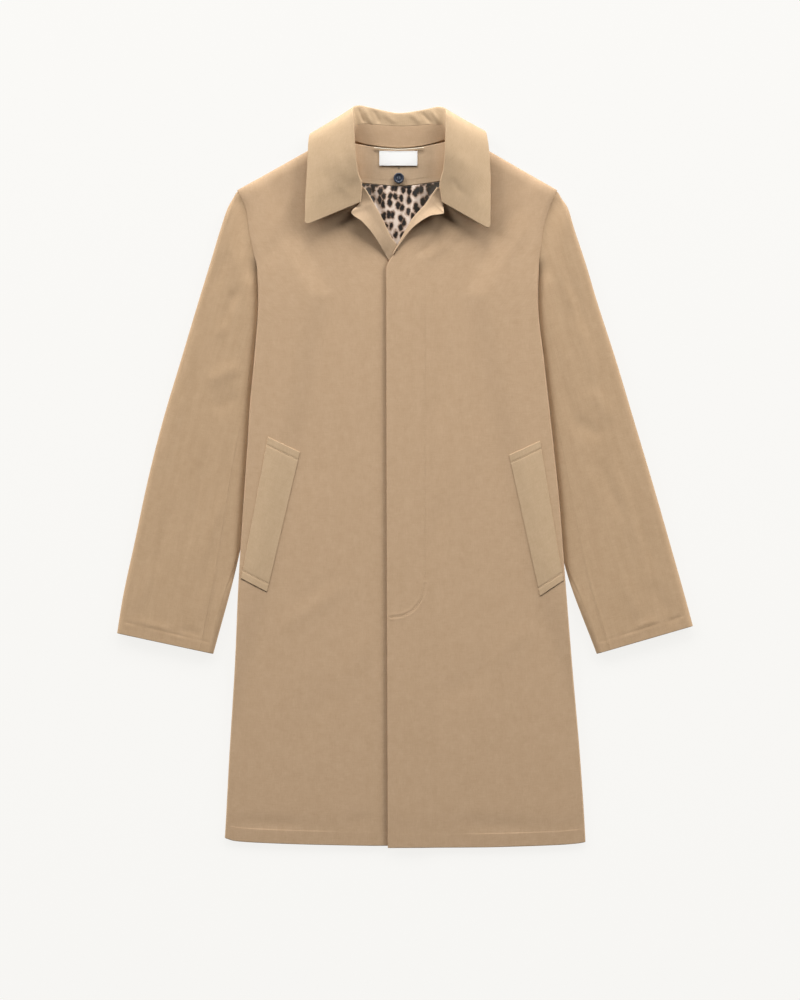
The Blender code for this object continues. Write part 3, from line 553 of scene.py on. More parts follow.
def body_lift(x, y):
    """The lift by a sleeve, or by the folded collar: the larger of the two smooth ramps."""
    lift = np.zeros_like(x)
    for side, sign in SLEEVE_SIDE.items():
        inner = np.array(SLEEVE_INNER[side], float)
        outer_end = SLEEVE_OUTER[side][-2]
        foot = inner[1] + (inner[0] - inner[1]) * 2.0
        line = np.vstack([foot, inner[:4], outer_end, (outer_end[0] + sign * 50.0, outer_end[1] + 45.0)])
        edge = np.interp(y, line[:, 1], line[:, 0]) - sign * LIFT_PAST
        lift = np.maximum(lift, BODY_LIFT * ease(1.0 - (edge - x) * sign / LIFT_RAMP))
    under = np.array(UNDER_COLLAR, float)
    reach = np.interp(x, under[:, 0], under[:, 1], left=600, right=600)
    level = COLLAR_LIFT + TURN_LIFT * ease((np.abs(x - NECK_MIDDLE_X) - 48.0) / 34.0)
    return np.maximum(lift, level * ease((y - reach + 48.0) / 42.0))


def shoulder_drop(side, x, y):
    """Distance from the shoulder line, down the front."""
    a = np.array(NECK_POINT[side])
    run = unit(np.array(SHOULDER_POINT[side]) - a)
    down = np.array([run[1], -run[0]]) * (-1.0 if run[0] < 0 else 1.0)
    return (x - a[0]) * down[0] + (y - a[1]) * down[1]


def armhole(y):
    """1 along the armhole, where the sleeve is sewn to the body, and 0 below, where it lies beside it."""
    return ease((y - ARMHOLE_FOOT) / 45.0)


def front_height(side, x, y):
    """The fronts' upper face: the rest height and part of the lift, less the roll at side and shoulder."""
    rest = np.array(REST)
    lift = body_lift(x, y)
    top = curve(rest[:, 0], rest[:, 1], y) + SIDE_SWELL * lift * ease((400.0 - y) / 120.0)
    top = top + 0.5 * lift * ease((y - 280.0) / 120.0)
    top = top + NECK_RISE * bell(x - NECK_MIDDLE_X, 95.0) * bell(y - 480.0, 75.0)
    if side == "right":
        dip = np.clip((x - FRONT_EDGE_X) / LAP_DIP + 1.0, 0.0, 1.0) ** 2
        top = top - LAP_UNDER * dip * (1.0 - 0.7 * ease((y - 300.0) / 45.0))
    else:
        top = top + LAP_OVER * ease((52.0 - x) / 32.0)
    in_side = (side_x(side, y) - x) * SLEEVE_SIDE[side]
    foot = lift + ROLL_FOOT
    rolled = foot + (top - foot) * quarter(in_side / SIDE_ROLL)
    sewn = top - ARMHOLE_DROP * (1.0 - np.clip(in_side / ARMHOLE_SOFT, 0.0, 1.0)) ** 2
    rolled = rolled + (sewn - rolled) * armhole(y)
    return foot + (rolled - foot) * quarter(shoulder_drop(side, x, y) / SHOULDER_ROLL)


# %% [markdown]
# ## Creases
# A pressed coat still shows where it was handled: a few soft troughs and ridges, none alike. Each is given
# as a row: x and y of its start, x and y of its end, width, depth and bow. A crease is a bell across
# its line that fades at both ends.


# %% Creases
def creases(x, y, table):
    """The sum over creases of depth bell(d, width), where d is the distance from a bowed line."""
    total = np.zeros_like(x)
    for x0, y0, x1, y1, width, depth, bow in table:
        run = np.array([x1 - x0, y1 - y0])
        size = np.linalg.norm(run)
        run = run / size
        f = ((x - x0) * run[0] + (y - y0) * run[1]) / size
        d = (x - x0) * run[1] - (y - y0) * run[0] - bow * 4.0 * f * (1.0 - f)
        fade = ease(f / 0.35) * ease((1.0 - f) / 0.35)
        total = total + depth * bell(d, width) * fade
    return total


FRONT_CREASES = {
    "right": (
        (-205, -235, -60, -130, 13.0, 0.26, 6.0),
        (-178, -196, -50, -140, 13.0, -0.14, -8.0),
        (-120, -330, -45, -215, 16.0, 0.30, 5.0),
        (-160, -420, -80, -270, 18.0, -0.28, -10.0),
        (-214, 300, -150, 398, 10.0, -0.32, 6.0),
        (-190, 350, -152, 420, 8.0, 0.26, -4.0),
        (-120, 180, -100, 330, 20.0, -0.25, 5.0),
        (-60, 60, -45, 260, 15.0, 0.22, -4.0),
        (-150, -60, -125, 120, 22.0, -0.22, 9.0),
        (-235, -498, -140, -505, 9.0, -0.20, 2.0),
        (-90, -505, -40, -498, 9.0, -0.20, -2.0),
    ),
    "left": (
        (120, 330, 185, 400, 10.0, -0.36, -6.0),
        (98, 345, 160, 410, 8.0, 0.24, 4.0),
        (142, 300, 190, 372, 8.0, 0.30, -5.0),
        (10, 318, 52, 352, 4.5, -0.38, 3.0),
        (26, 308, 72, 338, 5.0, 0.34, -3.0),
        (60, 330, 96, 352, 5.0, -0.30, 2.0),
        (60, -60, 120, 90, 20.0, 0.24, -8.0),
        (30, 40, 70, 210, 14.0, -0.24, 6.0),
        (40, -330, 140, -250, 16.0, -0.26, 8.0),
        (110, -300, 190, -210, 13.0, 0.26, -6.0),
        (20, -140, 60, -20, 12.0, -0.22, 4.0),
        (60, -500, 190, -506, 10.0, -0.20, 2.0),
    ),
}

# %% [markdown]
# ## Fronts
# Each front is one panel between the hem, the front edge, the neck, the shoulder and the side. The left
# front laps over the right one, and the buttons are hidden in its fly: a fine line of stitches runs down the
# front and ends in a curve. The hem is turned up 20 mm, and its upper edge shows through as a low ridge near
# the sides.

# %% Fronts
FRONT_WIDE = 283.0
FRONT_CREASE = 1.35
HEM_DEPTH = 20.0
HEM_RIDGE = 0.26
HEM_HOLLOW = 0.12
FLY_GROOVE = 0.24
FLY_RIDGE = 0.16
FLY_X = 29.0
FLY_CURVE = ((-20.5, -204.6), (-6, -203), (8, -197), (19, -186), (26, -172), (29, -157))
SIDE_CLOSE = (0.0, 0.05, 0.15, 0.3, 0.5, 0.75, 1.05, 1.4, 1.8, 2.2, 2.8, 4.0, 6.0, 8.0, 10.0, 12.0)
TOP_CLOSE = (0.3, 0.8, 1.6, 2.6, 4.0, 5.6, 7.4, 9.4, 11.6, 14.0, 16.5, 20.0)


def line_distance(x, y, points):
    """Distance from a line through points, read at close steps."""
    line = along(points, np.linspace(0.0, 1.0, 40))
    gap = np.stack([x, y], axis=-1)[..., None, :] - line
    return np.sqrt((gap ** 2).sum(axis=-1).min(axis=-1))


def front_relief(side, x, y, hem_up):
    """What sewing and wear add to a front's upper face: creases, the hem's ridge, and the fly's lines."""
    added = FRONT_CREASE * creases(x, y, FRONT_CREASES[side])
    show = ease((np.abs(x + 5.0) - 85.0) / 40.0)
    uneven = 0.75 + 0.25 * np.sin(x / 17.0 + 1.3) * np.sin(x / 41.0)
    step = HEM_RIDGE * uneven * (1.0 - ease((hem_up - HEM_DEPTH + 0.8) / 1.8))
    hollow = HEM_HOLLOW * bell(hem_up - HEM_DEPTH - 9.0, 7.0)
    added = added + (step - hollow) * (0.25 + 0.75 * show)
    if side == "left":
        near = (y > -212) & (y < -150) & (x < 40)
        curl = np.where(near, line_distance(x, np.where(near, y, 0.0), FLY_CURVE), 99.0)
        added = added - FLY_GROOVE * bell(curl, 1.6) + FLY_RIDGE * bell(curl - 3.4, 1.9) * near
        straight = ease((y + 160.0) / 20.0) * ease((312.0 - y) / 20.0)
        added = added - FLY_RIDGE * bell(x - FLY_X, 1.8) * straight
    return added


# %% Front panels
def front(side):
    """A front: a patch between hem, shoulder, front edge and side, raised to front_height and its relief."""
    sign = SLEEVE_SIDE[side]
    inner_line = np.array(FRONT_LINE[side] + NECK_LINE[side], float)
    side_ys = [y for y, x in SIDE_LINE[side] if y > ABOVE_HEM]
    ys = np.array([HEM_LINE[side][-1][1]] + side_ys, float)
    outer_line = np.stack([side_x(side, ys), ys], axis=-1)
    length = run_length(inner_line)[-1]
    fly_rows = np.linspace(325.0, 395.0, 44) if side == "left" else ()
    fly_columns = np.linspace(3.0, 62.0, 34) if side == "left" else ()
    rows = np.concatenate([np.linspace(14.0, 26.0, 19), fly_rows, length - np.array(TOP_CLOSE)])
    columns = np.concatenate([FRONT_WIDE - np.array(SIDE_CLOSE), fly_columns])
    t = shares(length, 5.0, extra=rows)
    s = shares(FRONT_WIDE, 5.0, extra=columns)
    s, t = np.meshgrid(s, t)
    plan = patch(
        lambda q: along(HEM_LINE[side], q),
        lambda q: along((NECK_POINT[side], SHOULDER_POINT[side]), q),
        lambda q: along(inner_line, q),
        lambda q: along(outer_line, q),
        s,
        t,
    )
    x, y = plan[..., 0], plan[..., 1]
    flat = raised(plan, np.zeros_like(x))
    in_side = (side_x(side, y) - x) * sign
    keep = ease(in_side / 16.0) * ease(shoulder_drop(side, x, y) / 26.0)
    z = front_height(side, x, y) + front_relief(side, x, y, lengths(flat)[1]) * keep
    cloth("front_" + side, raised(plan, z), WALL, -1, GABARDINE, turned=sign < 0)


front("right")
front("left")

# %% [markdown]
# ## Back
# Only the underside and a thin edge of the back can be seen. It is cut a little smaller than the fronts'
# outline, because the fold at each side belongs to the fronts, and it stays plain.

# %% Back
BACK_INSET = 3.6
BACK_NECK_Y = 501.5 - 1.2 * BACK_INSET
BACK_HEM = ((-259, -524), (-200, -527), (0, -531), (200, -530), (259, -527))


def back():
    """The back: a patch in the outline drawn in by BACK_INSET, raised to body_lift. Its top line runs
    straight from point to point."""
    corner = {side: (x - 6.5 * SLEEVE_SIDE[side], y - 9.0) for side, (x, y) in SHOULDER_POINT.items()}
    neck = [(row[1], row[2] - 1.0) for row in BACK_NECK]
    top = np.array([corner["right"], (-88.0, BACK_NECK_Y), *neck, (70.0, BACK_NECK_Y), corner["left"]])
    reach = run_length(top)
    edges = []
    for side, sign in SLEEVE_SIDE.items():
        end = BACK_HEM[0] if side == "right" else BACK_HEM[-1]
        inset = [(x - sign * BACK_INSET, y) for y, x in SIDE_LINE[side] if ABOVE_HEM < y < 400]
        edges.append([end, *inset, corner[side]])
    s, t = np.meshgrid(shares(520.0, 9.0), shares(950.0, 11.0))
    plan = patch(
        lambda q: along(BACK_HEM, q),
        lambda q: np.stack([np.interp(q, reach / reach[-1], top[:, k]) for k in (0, 1)], axis=-1),
        lambda q: along(edges[0], q),
        lambda q: along(edges[1], q),
        s,
        t,
    )
    cloth("back", raised(plan, body_lift(plan[..., 0], plan[..., 1])), WALL, 1, GABARDINE)


back()

# %% [markdown]
# ## Sleeves
# A two-piece sleeve is a flat tube here: the upper piece wraps round the outer fold, and the lower piece
# round the inner one. They meet at the forearm seam, which shows as a fine line down each sleeve. Sleeves
# keep more creases than the body, because the arm bends them: long soft ones down the length, and short ones
# at the elbow.

# %% Sleeves
SLEEVE_LONG = 690.0
SLEEVE_CREASE = 1.2
SEAM_ROLL = 0.09
CUFF_DEPTH = 19.0
CUFF_GROOVE = 0.20
CUFF_RIDGE = 0.15
FORE_RIDGE = 0.28
SLEEVE_CREASES = {
    "right": (
        (-238, 282, -264, 206, 7.0, -0.95, 3.0),
        (-250, 262, -276, 190, 8.0, 0.55, -3.0),
        (-232, 160, -290, 128, 11.0, 0.75, 5.0),
        (-236, 122, -286, 96, 14.0, -0.55, -4.0),
        (-302, 226, -322, 120, 7.0, 0.45, -3.0),
        (-312, 150, -352, -10, 8.0, 0.42, 4.0),
        (-288, 60, -322, -120, 8.0, -0.42, -5.0),
        (-256, -10, -296, -150, 8.5, 0.60, 4.0),
        (-330, -20, -362, -170, 9.0, -0.38, 4.0),
        (-276, -110, -300, -220, 7.0, 0.45, -3.0),
        (-355, -120, -392, -205, 10.0, 0.34, 4.0),
        (-252, 330, -276, 262, 8.0, -0.45, 3.0),
        (-400, -205, -330, -224, 5.0, 0.30, 2.0),
        (-330, -221, -292, -232, 4.5, -0.30, -1.0),
    ),
    "left": (
        (222, 318, 246, 232, 7.0, 0.55, 3.0),
        (234, 300, 262, 196, 7.0, -0.50, -4.0),
        (214, 244, 236, 150, 7.0, 0.50, 4.0),
        (246, 236, 276, 130, 8.0, 0.42, -3.0),
        (228, 150, 262, 40, 9.0, -0.60, 4.0),
        (262, 128, 300, 70, 12.0, 0.50, -6.0),
        (250, 90, 290, 54, 10.0, -0.60, 5.0),
        (282, 40, 318, -70, 8.0, -0.46, 4.0),
        (300, 20, 340, -120, 8.0, 0.44, -5.0),
        (330, -20, 372, -150, 9.0, -0.36, 4.0),
        (258, 20, 280, -60, 7.0, 0.40, -3.0),
        (318, -140, 346, -214, 8.0, 0.38, 3.0),
        (356, -150, 388, -206, 9.0, -0.32, 3.0),
        (330, -222, 372, -208, 5.0, 0.42, -2.0),
        (376, -212, 404, -204, 5.0, -0.30, 1.0),
    ),
}
ROUND = np.radians(np.linspace(-90.0, 90.0, 13))


# %% The sleeves' upper face
def sleeve_height(side, x, y):
    """A sleeve's upper face. Beside the body it falls in two parabolas, ever steeper, to the pressed height
    where the body lies on it. Along the armhole it is sewn to the body: a cubic leaves the body's edge going
    down by ARMHOLE_SLOPE and ends level, which makes a soft valley."""
    edge = side_x(side, y)
    out = (x - edge) * SLEEVE_SIDE[side]
    run = out + 20.0 * ease((SLEEVE_INNER[side][1][1] - 14.0 - y) / 60.0)
    near, wide = ((1.0 - np.clip(run / fall, 0.0, 1.0)) ** 2 for fall in SLEEVE_FALL)
    beside = 1.0 - 0.6 * near - 0.4 * wide
    full = SLEEVE_FREE - SLEEVE_PRESSED
    seam = (front_height(side, edge, y) - 0.35 - SLEEVE_PRESSED) / full
    t = np.clip(out / SLEEVE_SOFT, 0.0, 1.0)
    rise = (1.0 - seam) * ease(t) - ARMHOLE_SLOPE * SLEEVE_SOFT / full * t * (1.0 - t) ** 2
    head = seam + rise * quarter((shoulder_drop(side, x, y) + 2.0) / 26.0)
    sewn = np.where(out < 0.0, seam * ease((out + 2.4) / 2.4), head)
    free = beside + (sewn - beside) * armhole(y)
    return SLEEVE_PRESSED + full * free


# %% Sleeve pieces
def sleeve(side):
    """Both pieces of a sleeve. Across, each runs over the upper face, round a fold and along the floor. f
    is the share of the way from the outer fold to the inner one, and w that of the length from the cuff."""
    close = np.concatenate([np.linspace(12.0, 26.0, 12), np.linspace(596.0, 688.0, 124)])
    w = shares(SLEEVE_LONG, 5.0, extra=close)
    outer = along(SLEEVE_OUTER[side], w)[:, None, :]
    inner = along(SLEEVE_INNER[side], w)[:, None, :]
    width = np.linalg.norm(inner - outer, axis=-1)
    fore = np.array(FORE_SEAM)
    seam = curve(fore[:, 0], fore[:, 1], w)[:, None]
    gap = 0.5 * SEAM_SHOWN / width
    up = (w * SLEEVE_LONG)[:, None]

    def place(f, z):
        """Points at the shares f, at the heights z."""
        return raised(outer + (inner - outer) * f[..., None], z)

    def upper(f):
        """The upper face with its creases, a ridge along the seam, and the cuff's hem line."""
        plan = outer + (inner - outer) * f[..., None]
        x, y = plan[..., 0], plan[..., 1]
        h = sleeve_height(side, x, y)
        free = (h - SLEEVE_PRESSED) / (SLEEVE_FREE - SLEEVE_PRESSED)
        from_edge = np.minimum(f, 1.0 - f) * width
        uneven = 0.55 + 0.45 * np.sin(f * 17.0 + 0.6) * np.sin(f * 7.0)
        relief = SLEEVE_CREASE * creases(x, y, SLEEVE_CREASES[side])
        relief = relief + FORE_RIDGE * bell((f - seam) * width, 2.6)
        relief = relief - CUFF_GROOVE * uneven * bell(up - CUFF_DEPTH, 1.8)
        relief = relief + CUFF_RIDGE * uneven * bell(up - CUFF_DEPTH + 5.0, 4.0)
        return place(f, h + relief * free * ease((from_edge - 3.0) / 10.0))

    def lower(f):
        """The lower face, flat on the floor."""
        return place(f, np.zeros_like(f))

    def fold(at_outer):
        """Half an ellipse from the floor to the upper face, and the share of the width that it takes."""
        start = outer if at_outer else inner
        h = sleeve_height(side, start[..., 0], start[..., 1])
        reach = SLEEVE_PRESSED / 2 + (h - SLEEVE_PRESSED) * 0.9
        f = reach * (1 - np.cos(ROUND)[None, :]) / width
        z = h / 2 + h / 2 * np.sin(ROUND)[None, :]
        return place(f if at_outer else 1.0 - f, z), reach / width

    round_out, reach_out = fold(True)
    round_in, reach_in = fold(False)
    fine = np.array([0.0, 0.0006, 0.002, 0.006])
    first = np.unique(np.concatenate([fine, np.linspace(0.03, 1.0, 7)[:-1]]))[None, :]
    under_out = lower(HIND_SEAM + (reach_out - HIND_SEAM) * first)
    across = np.unique(np.concatenate([np.linspace(0.0, 0.97, 58)[1:], 1.0 - fine[::-1]]))[None, :]
    over_out = upper(reach_out + (seam - gap - reach_out) * across)
    start = np.unique(np.concatenate([fine * 3, np.linspace(0.04, 1.0, 26)[:-1]]))[None, :]
    over_in = upper(seam + (1 - reach_in - seam) * start)
    last = np.unique(np.concatenate([np.linspace(0.0, 0.97, 14)[1:], 1.0 - fine[::-1]]))[None, :]
    low_in = lower(1 - reach_in - (1 - reach_in - HIND_SEAM - gap) * last)
    top = np.concatenate([under_out, round_out, over_out], axis=1)
    under = np.concatenate([over_in, round_in[:, ::-1], low_in], axis=1)
    edges = (SEAM_ROLL, SEAM_ROLL, EDGE_ROLL, EDGE_ROLL)
    cloth("top_sleeve_" + side, top, WALL, -1, SLEEVE_PAINTED_SHADE, side == "left", edges)
    cloth("under_sleeve_" + side, under, WALL, -1, SLEEVE_PAINTED_SHADE, side == "left", edges)


sleeve("right")
sleeve("left")

# %% [markdown]
# ## Collar
# The collar is one band on the neck seam, the stand, and a wider leaf sewn to it that rolls over and falls
# on the shoulders. At the back it folds under. Both are lofted through sections: each section runs up the
# stand, over the roll and down to the outer edge on cubic curves, and the sections are joined smoothly round
# the neck.

# %% Collar
collar_rows = np.array([row[1:] for row in COLLAR], float)
LAST_SECTION = len(COLLAR) - 1.0
STAND_FROM = 1.4
TIP_ROUND = 8.5
LEAF_WIDE = 82.0
JOIN_ROLL = 0.25
STRIP_CREASE = 1.7
# Steps from the seam up to the crest, without the close ones that an edge would have there
LEAF_RISE = shares(24.0, 1.2)[:-7]
STRIP_CREASES = (
    (-68, 536, -58, 509, 2.6, -0.8, 1.0), (-60, 537, -46, 507, 3.2, 0.8, 1.0),
    (-48, 534, -36, 508, 2.8, -0.7, -1.0), (-34, 531, -10, 509, 4.0, 0.5, 1.0),
    (4, 528, 24, 508, 3.6, 0.6, -1.5), (20, 532, 44, 507, 3.0, -0.7, 1.0),
    (36, 535, 54, 508, 2.8, 0.7, 1.0),
)
FALL_CREASES = (
    (-100, 480, -82, 424, 8.0, 0.55, 3.0), (-122, 452, -104, 398, 9.0, -0.55, -3.0),
    (-94, 424, -76, 402, 5.0, 0.4, 1.0), (78, 474, 100, 410, 8.0, 0.55, -3.0),
    (68, 434, 86, 404, 5.0, -0.5, 2.0), (102, 446, 112, 388, 9.0, -0.5, 2.0),
)


def hermite(a, b, run_a, run_b, f):
    """A cubic from a to b that leaves along run_a and arrives along run_b."""
    f = np.asarray(f, float)[None, :, None]
    a, b, run_a, run_b = (p[:, None, :] for p in (a, b, run_a, run_b))
    ends = a * (1 + 2 * f) * (1 - f) ** 2 + b * f * f * (3 - 2 * f)
    return ends + run_a * f * (1 - f) ** 2 + run_b * f * f * (f - 1)


def collar(start, columns):
    """Points on the stand and on the leaf, through sections from start to the same place opposite."""
    at = start + (LAST_SECTION - 2.0 * start) * columns
    sections = curve(np.arange(len(COLLAR)), collar_rows, at)
    neck, join, crest, edge = (sections[:, i:i + 3] for i in (0, 3, 6, 9))
    turn = sections[:, 12:13]
    outward = unit((edge - crest) * np.array([1.0, 1.0, 0.0]))
    over = unit(outward * (1 - turn) + np.array([0.0, 0.0, -1.0]) * turn)
    rise_length = np.linalg.norm(crest - join, axis=1, keepdims=True)
    stand_length = np.linalg.norm(join - neck, axis=1, keepdims=True)
    bend = unit(unit(crest - join) + unit(join - neck))
    leaf_roll = over * np.minimum(8.0 - 3.0 * turn, 1.2 * rise_length)
    leaf_in = hermite(join + bend * SEAM_SHOWN, crest, bend * rise_length, leaf_roll, LEAF_RISE)
    rim = 1.0 - np.array([1.5, 1.0, 0.7, 0.4, 0.18, 0.05, 0.0]) * EDGE_ROLL / LEAF_WIDE
    out_steps = np.concatenate([np.linspace(0.0, 0.3, 16)[:-1], np.linspace(0.3, 1.0, 30)[:-1], rim])
    leaf_out = hermite(crest, edge, over * (34.0 - 28.0 * turn), edge - crest, out_steps)
    stand = hermite(neck, join - bend * SEAM_SHOWN, join - neck, bend * stand_length, shares(24.0, 1.6))
    return stand, np.concatenate([leaf_in, leaf_out], axis=1)


def round_tips(points):
    """The two outer corners drawn in to arcs: a square of the side TIP_ROUND becomes a quarter disc, where
    the shares x and y of the way to the corner become x sqrt(1 - y^2 / 2) and y sqrt(1 - x^2 / 2)."""
    u, v = lengths(points)
    to_edge = 1.0 - np.clip((u[:, -1:] - u) / TIP_ROUND, 0.0, 1.0)
    to_end = 1.0 - np.clip(np.minimum(v, v[-1:] - v) / TIP_ROUND, 0.0, 1.0)
    in_edge = to_edge * (1.0 - np.sqrt(1.0 - to_end ** 2 / 2)) * TIP_ROUND
    in_end = to_end * (1.0 - np.sqrt(1.0 - to_edge ** 2 / 2)) * TIP_ROUND
    in_end = np.where(v < v[-1:] / 2, -in_end, in_end)
    across, up = (unit(np.gradient(points, axis=k)) for k in (1, 0))
    return points - across * in_edge[..., None] - up * in_end[..., None]


# %% Collar pieces
tip_columns = (1.2, 2.0, 3.4, 4.2, 5.0, 355.0, 355.8, 356.6, 358.0, 358.8)
leaf_points = collar(0.0, shares(LAST_SECTION * 20.0, 1.6, extra=tip_columns))[1]
leaf_strip = leaf_points[:, :len(LEAF_RISE)]
leaf_strip[..., 2] += STRIP_CREASE * creases(leaf_strip[..., 0], leaf_strip[..., 1], STRIP_CREASES)
leaf_fall = leaf_points[:, len(LEAF_RISE):]
off_floor = ease((leaf_fall[..., 2] - 10.0) / 5.0)
leaf_fall[..., 2] += creases(leaf_fall[..., 0], leaf_fall[..., 1], FALL_CREASES) * off_floor
leaf_points = round_tips(leaf_points)
stand_points = collar(STAND_FROM, shares(300.0, 3.0))[0]
leaf_rolls = (JOIN_ROLL, EDGE_ROLL, EDGE_ROLL, EDGE_ROLL)
stand_rolls = (EDGE_ROLL, JOIN_ROLL, EDGE_ROLL, EDGE_ROLL)
cloth("collar_leaf", leaf_points, COLLAR_WALL, 0, COLLAR_PAINTED_LIGHT, edge=leaf_rolls)
cloth("collar_stand", stand_points, COLLAR_WALL, 0, GABARDINE, edge=stand_rolls)

# %% [markdown]
# ## Facings
# At the neck opening the fronts turn back as small lapels and show their facings, which lie on the fronts
# with a soft roll. The profile runs up out of the opening, over the roll and down to the outer edge.

# %% Facings
FACING = {
    "right": (
        # roll_x roll_y edge_x edge_y stand spring
        (-3.0, 321.5, -18.0, 304.5, 1.0, 0.0), (-13.2, 337.2, -27.0, 318.0, 1.2, 0.0),
        (-20.0, 346.5, -34.0, 330.0, 1.7, 2.2), (-29.0, 364.5, -46.5, 349.5, 2.2, 7.6),
        (-38.0, 383.0, -62.0, 367.5, 2.8, 11.6), (-43.5, 392.0, -77.6, 380.8, 3.2, 13.0),
        (-49.0, 402.0, -66.5, 396.5, 3.5, 2.0), (-58.5, 418.0, -65.0, 414.0, 3.6, 0.4),
    ),
    "left": (
        (-18.3, 321.5, -17.3, 321.0, 0.9, 0.0), (-11.3, 333.5, -9.0, 332.2, 1.2, 0.2),
        (1.9, 358.2, 7.0, 354.6, 2.0, 4.6), (11.6, 373.9, 20.0, 366.2, 2.4, 9.4),
        (29.6, 394.0, 38.0, 376.3, 3.0, 12.4), (35.0, 402.0, 56.4, 379.9, 3.3, 13.4),
        (40.5, 410.0, 55.2, 396.5, 3.5, 2.2), (46.5, 418.5, 52.6, 414.5, 3.6, 0.4),
    ),
}

# %% Facing pieces
LAPEL_FOOT = 9.0


def facing(side):
    """A facing: six lines from the opening over the roll to the outer edge, joined by cubics both ways. The
    left one thins out over LAPEL_FOOT, where it goes into the lap."""
    table = np.array(FACING[side])
    line = curve(np.linspace(0.0, 1.0, len(table)), table, shares(110.0, 1.4))
    roll, edge_at, stands, spring = line[:, 0:2], line[:, 2:4], line[:, 4], line[:, 5]
    across = edge_at - roll
    reach = np.linalg.norm(across, axis=1, keepdims=True)
    out = across / reach
    foot = front_height(side, *(roll + out * np.minimum(reach, 2.0)).T)
    lies = 0.5 * FACING_WALL + SEAM + 0.1
    sections = []
    for share, level in ((0.0, -1.0), (0.0, 0.4), (0.3, 1.0)):
        plan = roll + out * (0.2 + share * np.minimum(reach, 3.0))
        z = foot + (level * np.maximum(stands, lies) if level > 0 else level)
        sections.append(raised(plan, z))
    for q in (0.45, 0.75, 1.0):
        plan = roll + across * q
        lifted = (stands - lies) * (1.0 - q) * 0.9 + 0.35 + spring * q ** 1.6
        sections.append(raised(plan, front_height(side, *plan.T) + lies + lifted))
    sections = np.stack(sections)
    steps = shares(24.0, 0.9)
    fine = curve(np.array([0.0, 0.12, 0.24, 0.5, 0.78, 1.0]), sections.reshape(6, -1), steps)
    points = fine.reshape(len(steps), -1, 3).transpose(1, 0, 2)
    edges = (EDGE_ROLL, EDGE_ROLL, LAPEL_FOOT if side == "left" else EDGE_ROLL, EDGE_ROLL)
    cloth("facing_" + side, points, FACING_WALL, 0, FACING_PAINTED_SHADE, side == "left", edges)
    return points


facing("right")
lapel_points = facing("left")

# %% [markdown]
# ## Pocket welts
# Each slanted pocket is closed by a welt, a folded strip that is sewn down at both ends and stands a little
# proud of the front.

# %% Pocket welts
WELT = {
    "right": {
        "top_in": (-152.3, 34.8), "top_out": (-198.7, 56.6),
        "low_in": (-200, -168), "low_out": (-237.6, -148.5),
    },
    "left": {
        "top_in": (150.8, 30.5), "top_out": (195.8, 50.8),
        "low_in": (195.8, -174), "low_out": (229.4, -151.5),
    },
}
WELT_LONG = 208.0
WELT_WIDE = 48.0
WELT_STITCH = 11.5
WELT_BELLY = 0.22
WELT_GROOVE = 0.32


def welt_plan(side, f, g):
    """The place on a welt at the share f of its height and g of its width, between its four corners."""
    corner = {name: np.array(at, float) for name, at in WELT[side].items()}
    f = f[..., None]
    g = g[..., None]
    low = corner["low_in"] * (1 - g) + corner["low_out"] * g
    high = corner["top_in"] * (1 - g) + corner["top_out"] * g
    return low * (1 - f) + high * f


def welt_height(side, plan):
    """Just over the front's upper face, so that the welt looks sewn to it."""
    return front_height(side, plan[..., 0], plan[..., 1]) + SEAM_SHOWN


def welt(side):
    """A welt: fuller in the middle by WELT_BELLY, with a groove where it is sewn down at each end."""
    close = np.linspace(WELT_STITCH - 3.0, WELT_STITCH + 3.0, 9)
    close = np.concatenate([close, WELT_LONG - close])
    g, f = np.meshgrid(shares(WELT_WIDE, 2.5), shares(WELT_LONG, 5.0, extra=close))
    plan = welt_plan(side, f, g)
    from_end = np.minimum(f, 1.0 - f) * WELT_LONG
    belly = WELT_BELLY * ease(g / 0.4) * ease((1.0 - g) / 0.4) * ease(from_end / 50.0)
    groove = WELT_GROOVE * bell(from_end - WELT_STITCH, 1.5)
    points = raised(plan, welt_height(side, plan) + belly - groove)
    cloth("pocket_welt_" + side, points, WELT_WALL, 1, COLLAR_PAINTED_LIGHT, side == "right", 0.7)


welt("right")
welt("left")

# %% [markdown]
# ## Inside the back neck
# The shaped facing of the back neck carries a bare woven label, a cord loop to hang the coat by and one dark
# button. Below it the lining shows.

# %% Back neck facing
NECK_STITCH = 9.0
NECK_WALL = 1.0
NECK_LIES = 0.5
NECK_FACING_LOW = ((-78, 426.5), (-62, 425), (-8, 421), (51, 427.5), (64, 429))


def on_back(plan, over_back):
    """Points a given distance over the back's upper face."""
    return raised(plan, body_lift(plan[..., 0], plan[..., 1]) + WALL + over_back)


def between(low, high, s, f):
    """Points ruled between two lines, at the shares s of their lengths and f of the way."""
    f = f[:, None, None]
    return along(low, s)[None] * (1 - f) + along(high, s)[None] * f


neck_top = [(-75.5, 482.0)] + [(row[1], row[2] - 1.6) for row in BACK_NECK] + [(59.5, 484.0)]
neck_plan = between(NECK_FACING_LOW, neck_top, shares(140.0, 2.5), shares(58.0, 2.5))
cloth("back_neck_facing", on_back(neck_plan, NECK_LIES), NECK_WALL, 1, NECK_PAINTED_LIGHT)

# %% [markdown]
# ### Label
# A woven satin label: long floats of a shiny thread give a soft white with a fine rib. It stays bare.

# %% Label
FLOAT_PITCH = 0.7


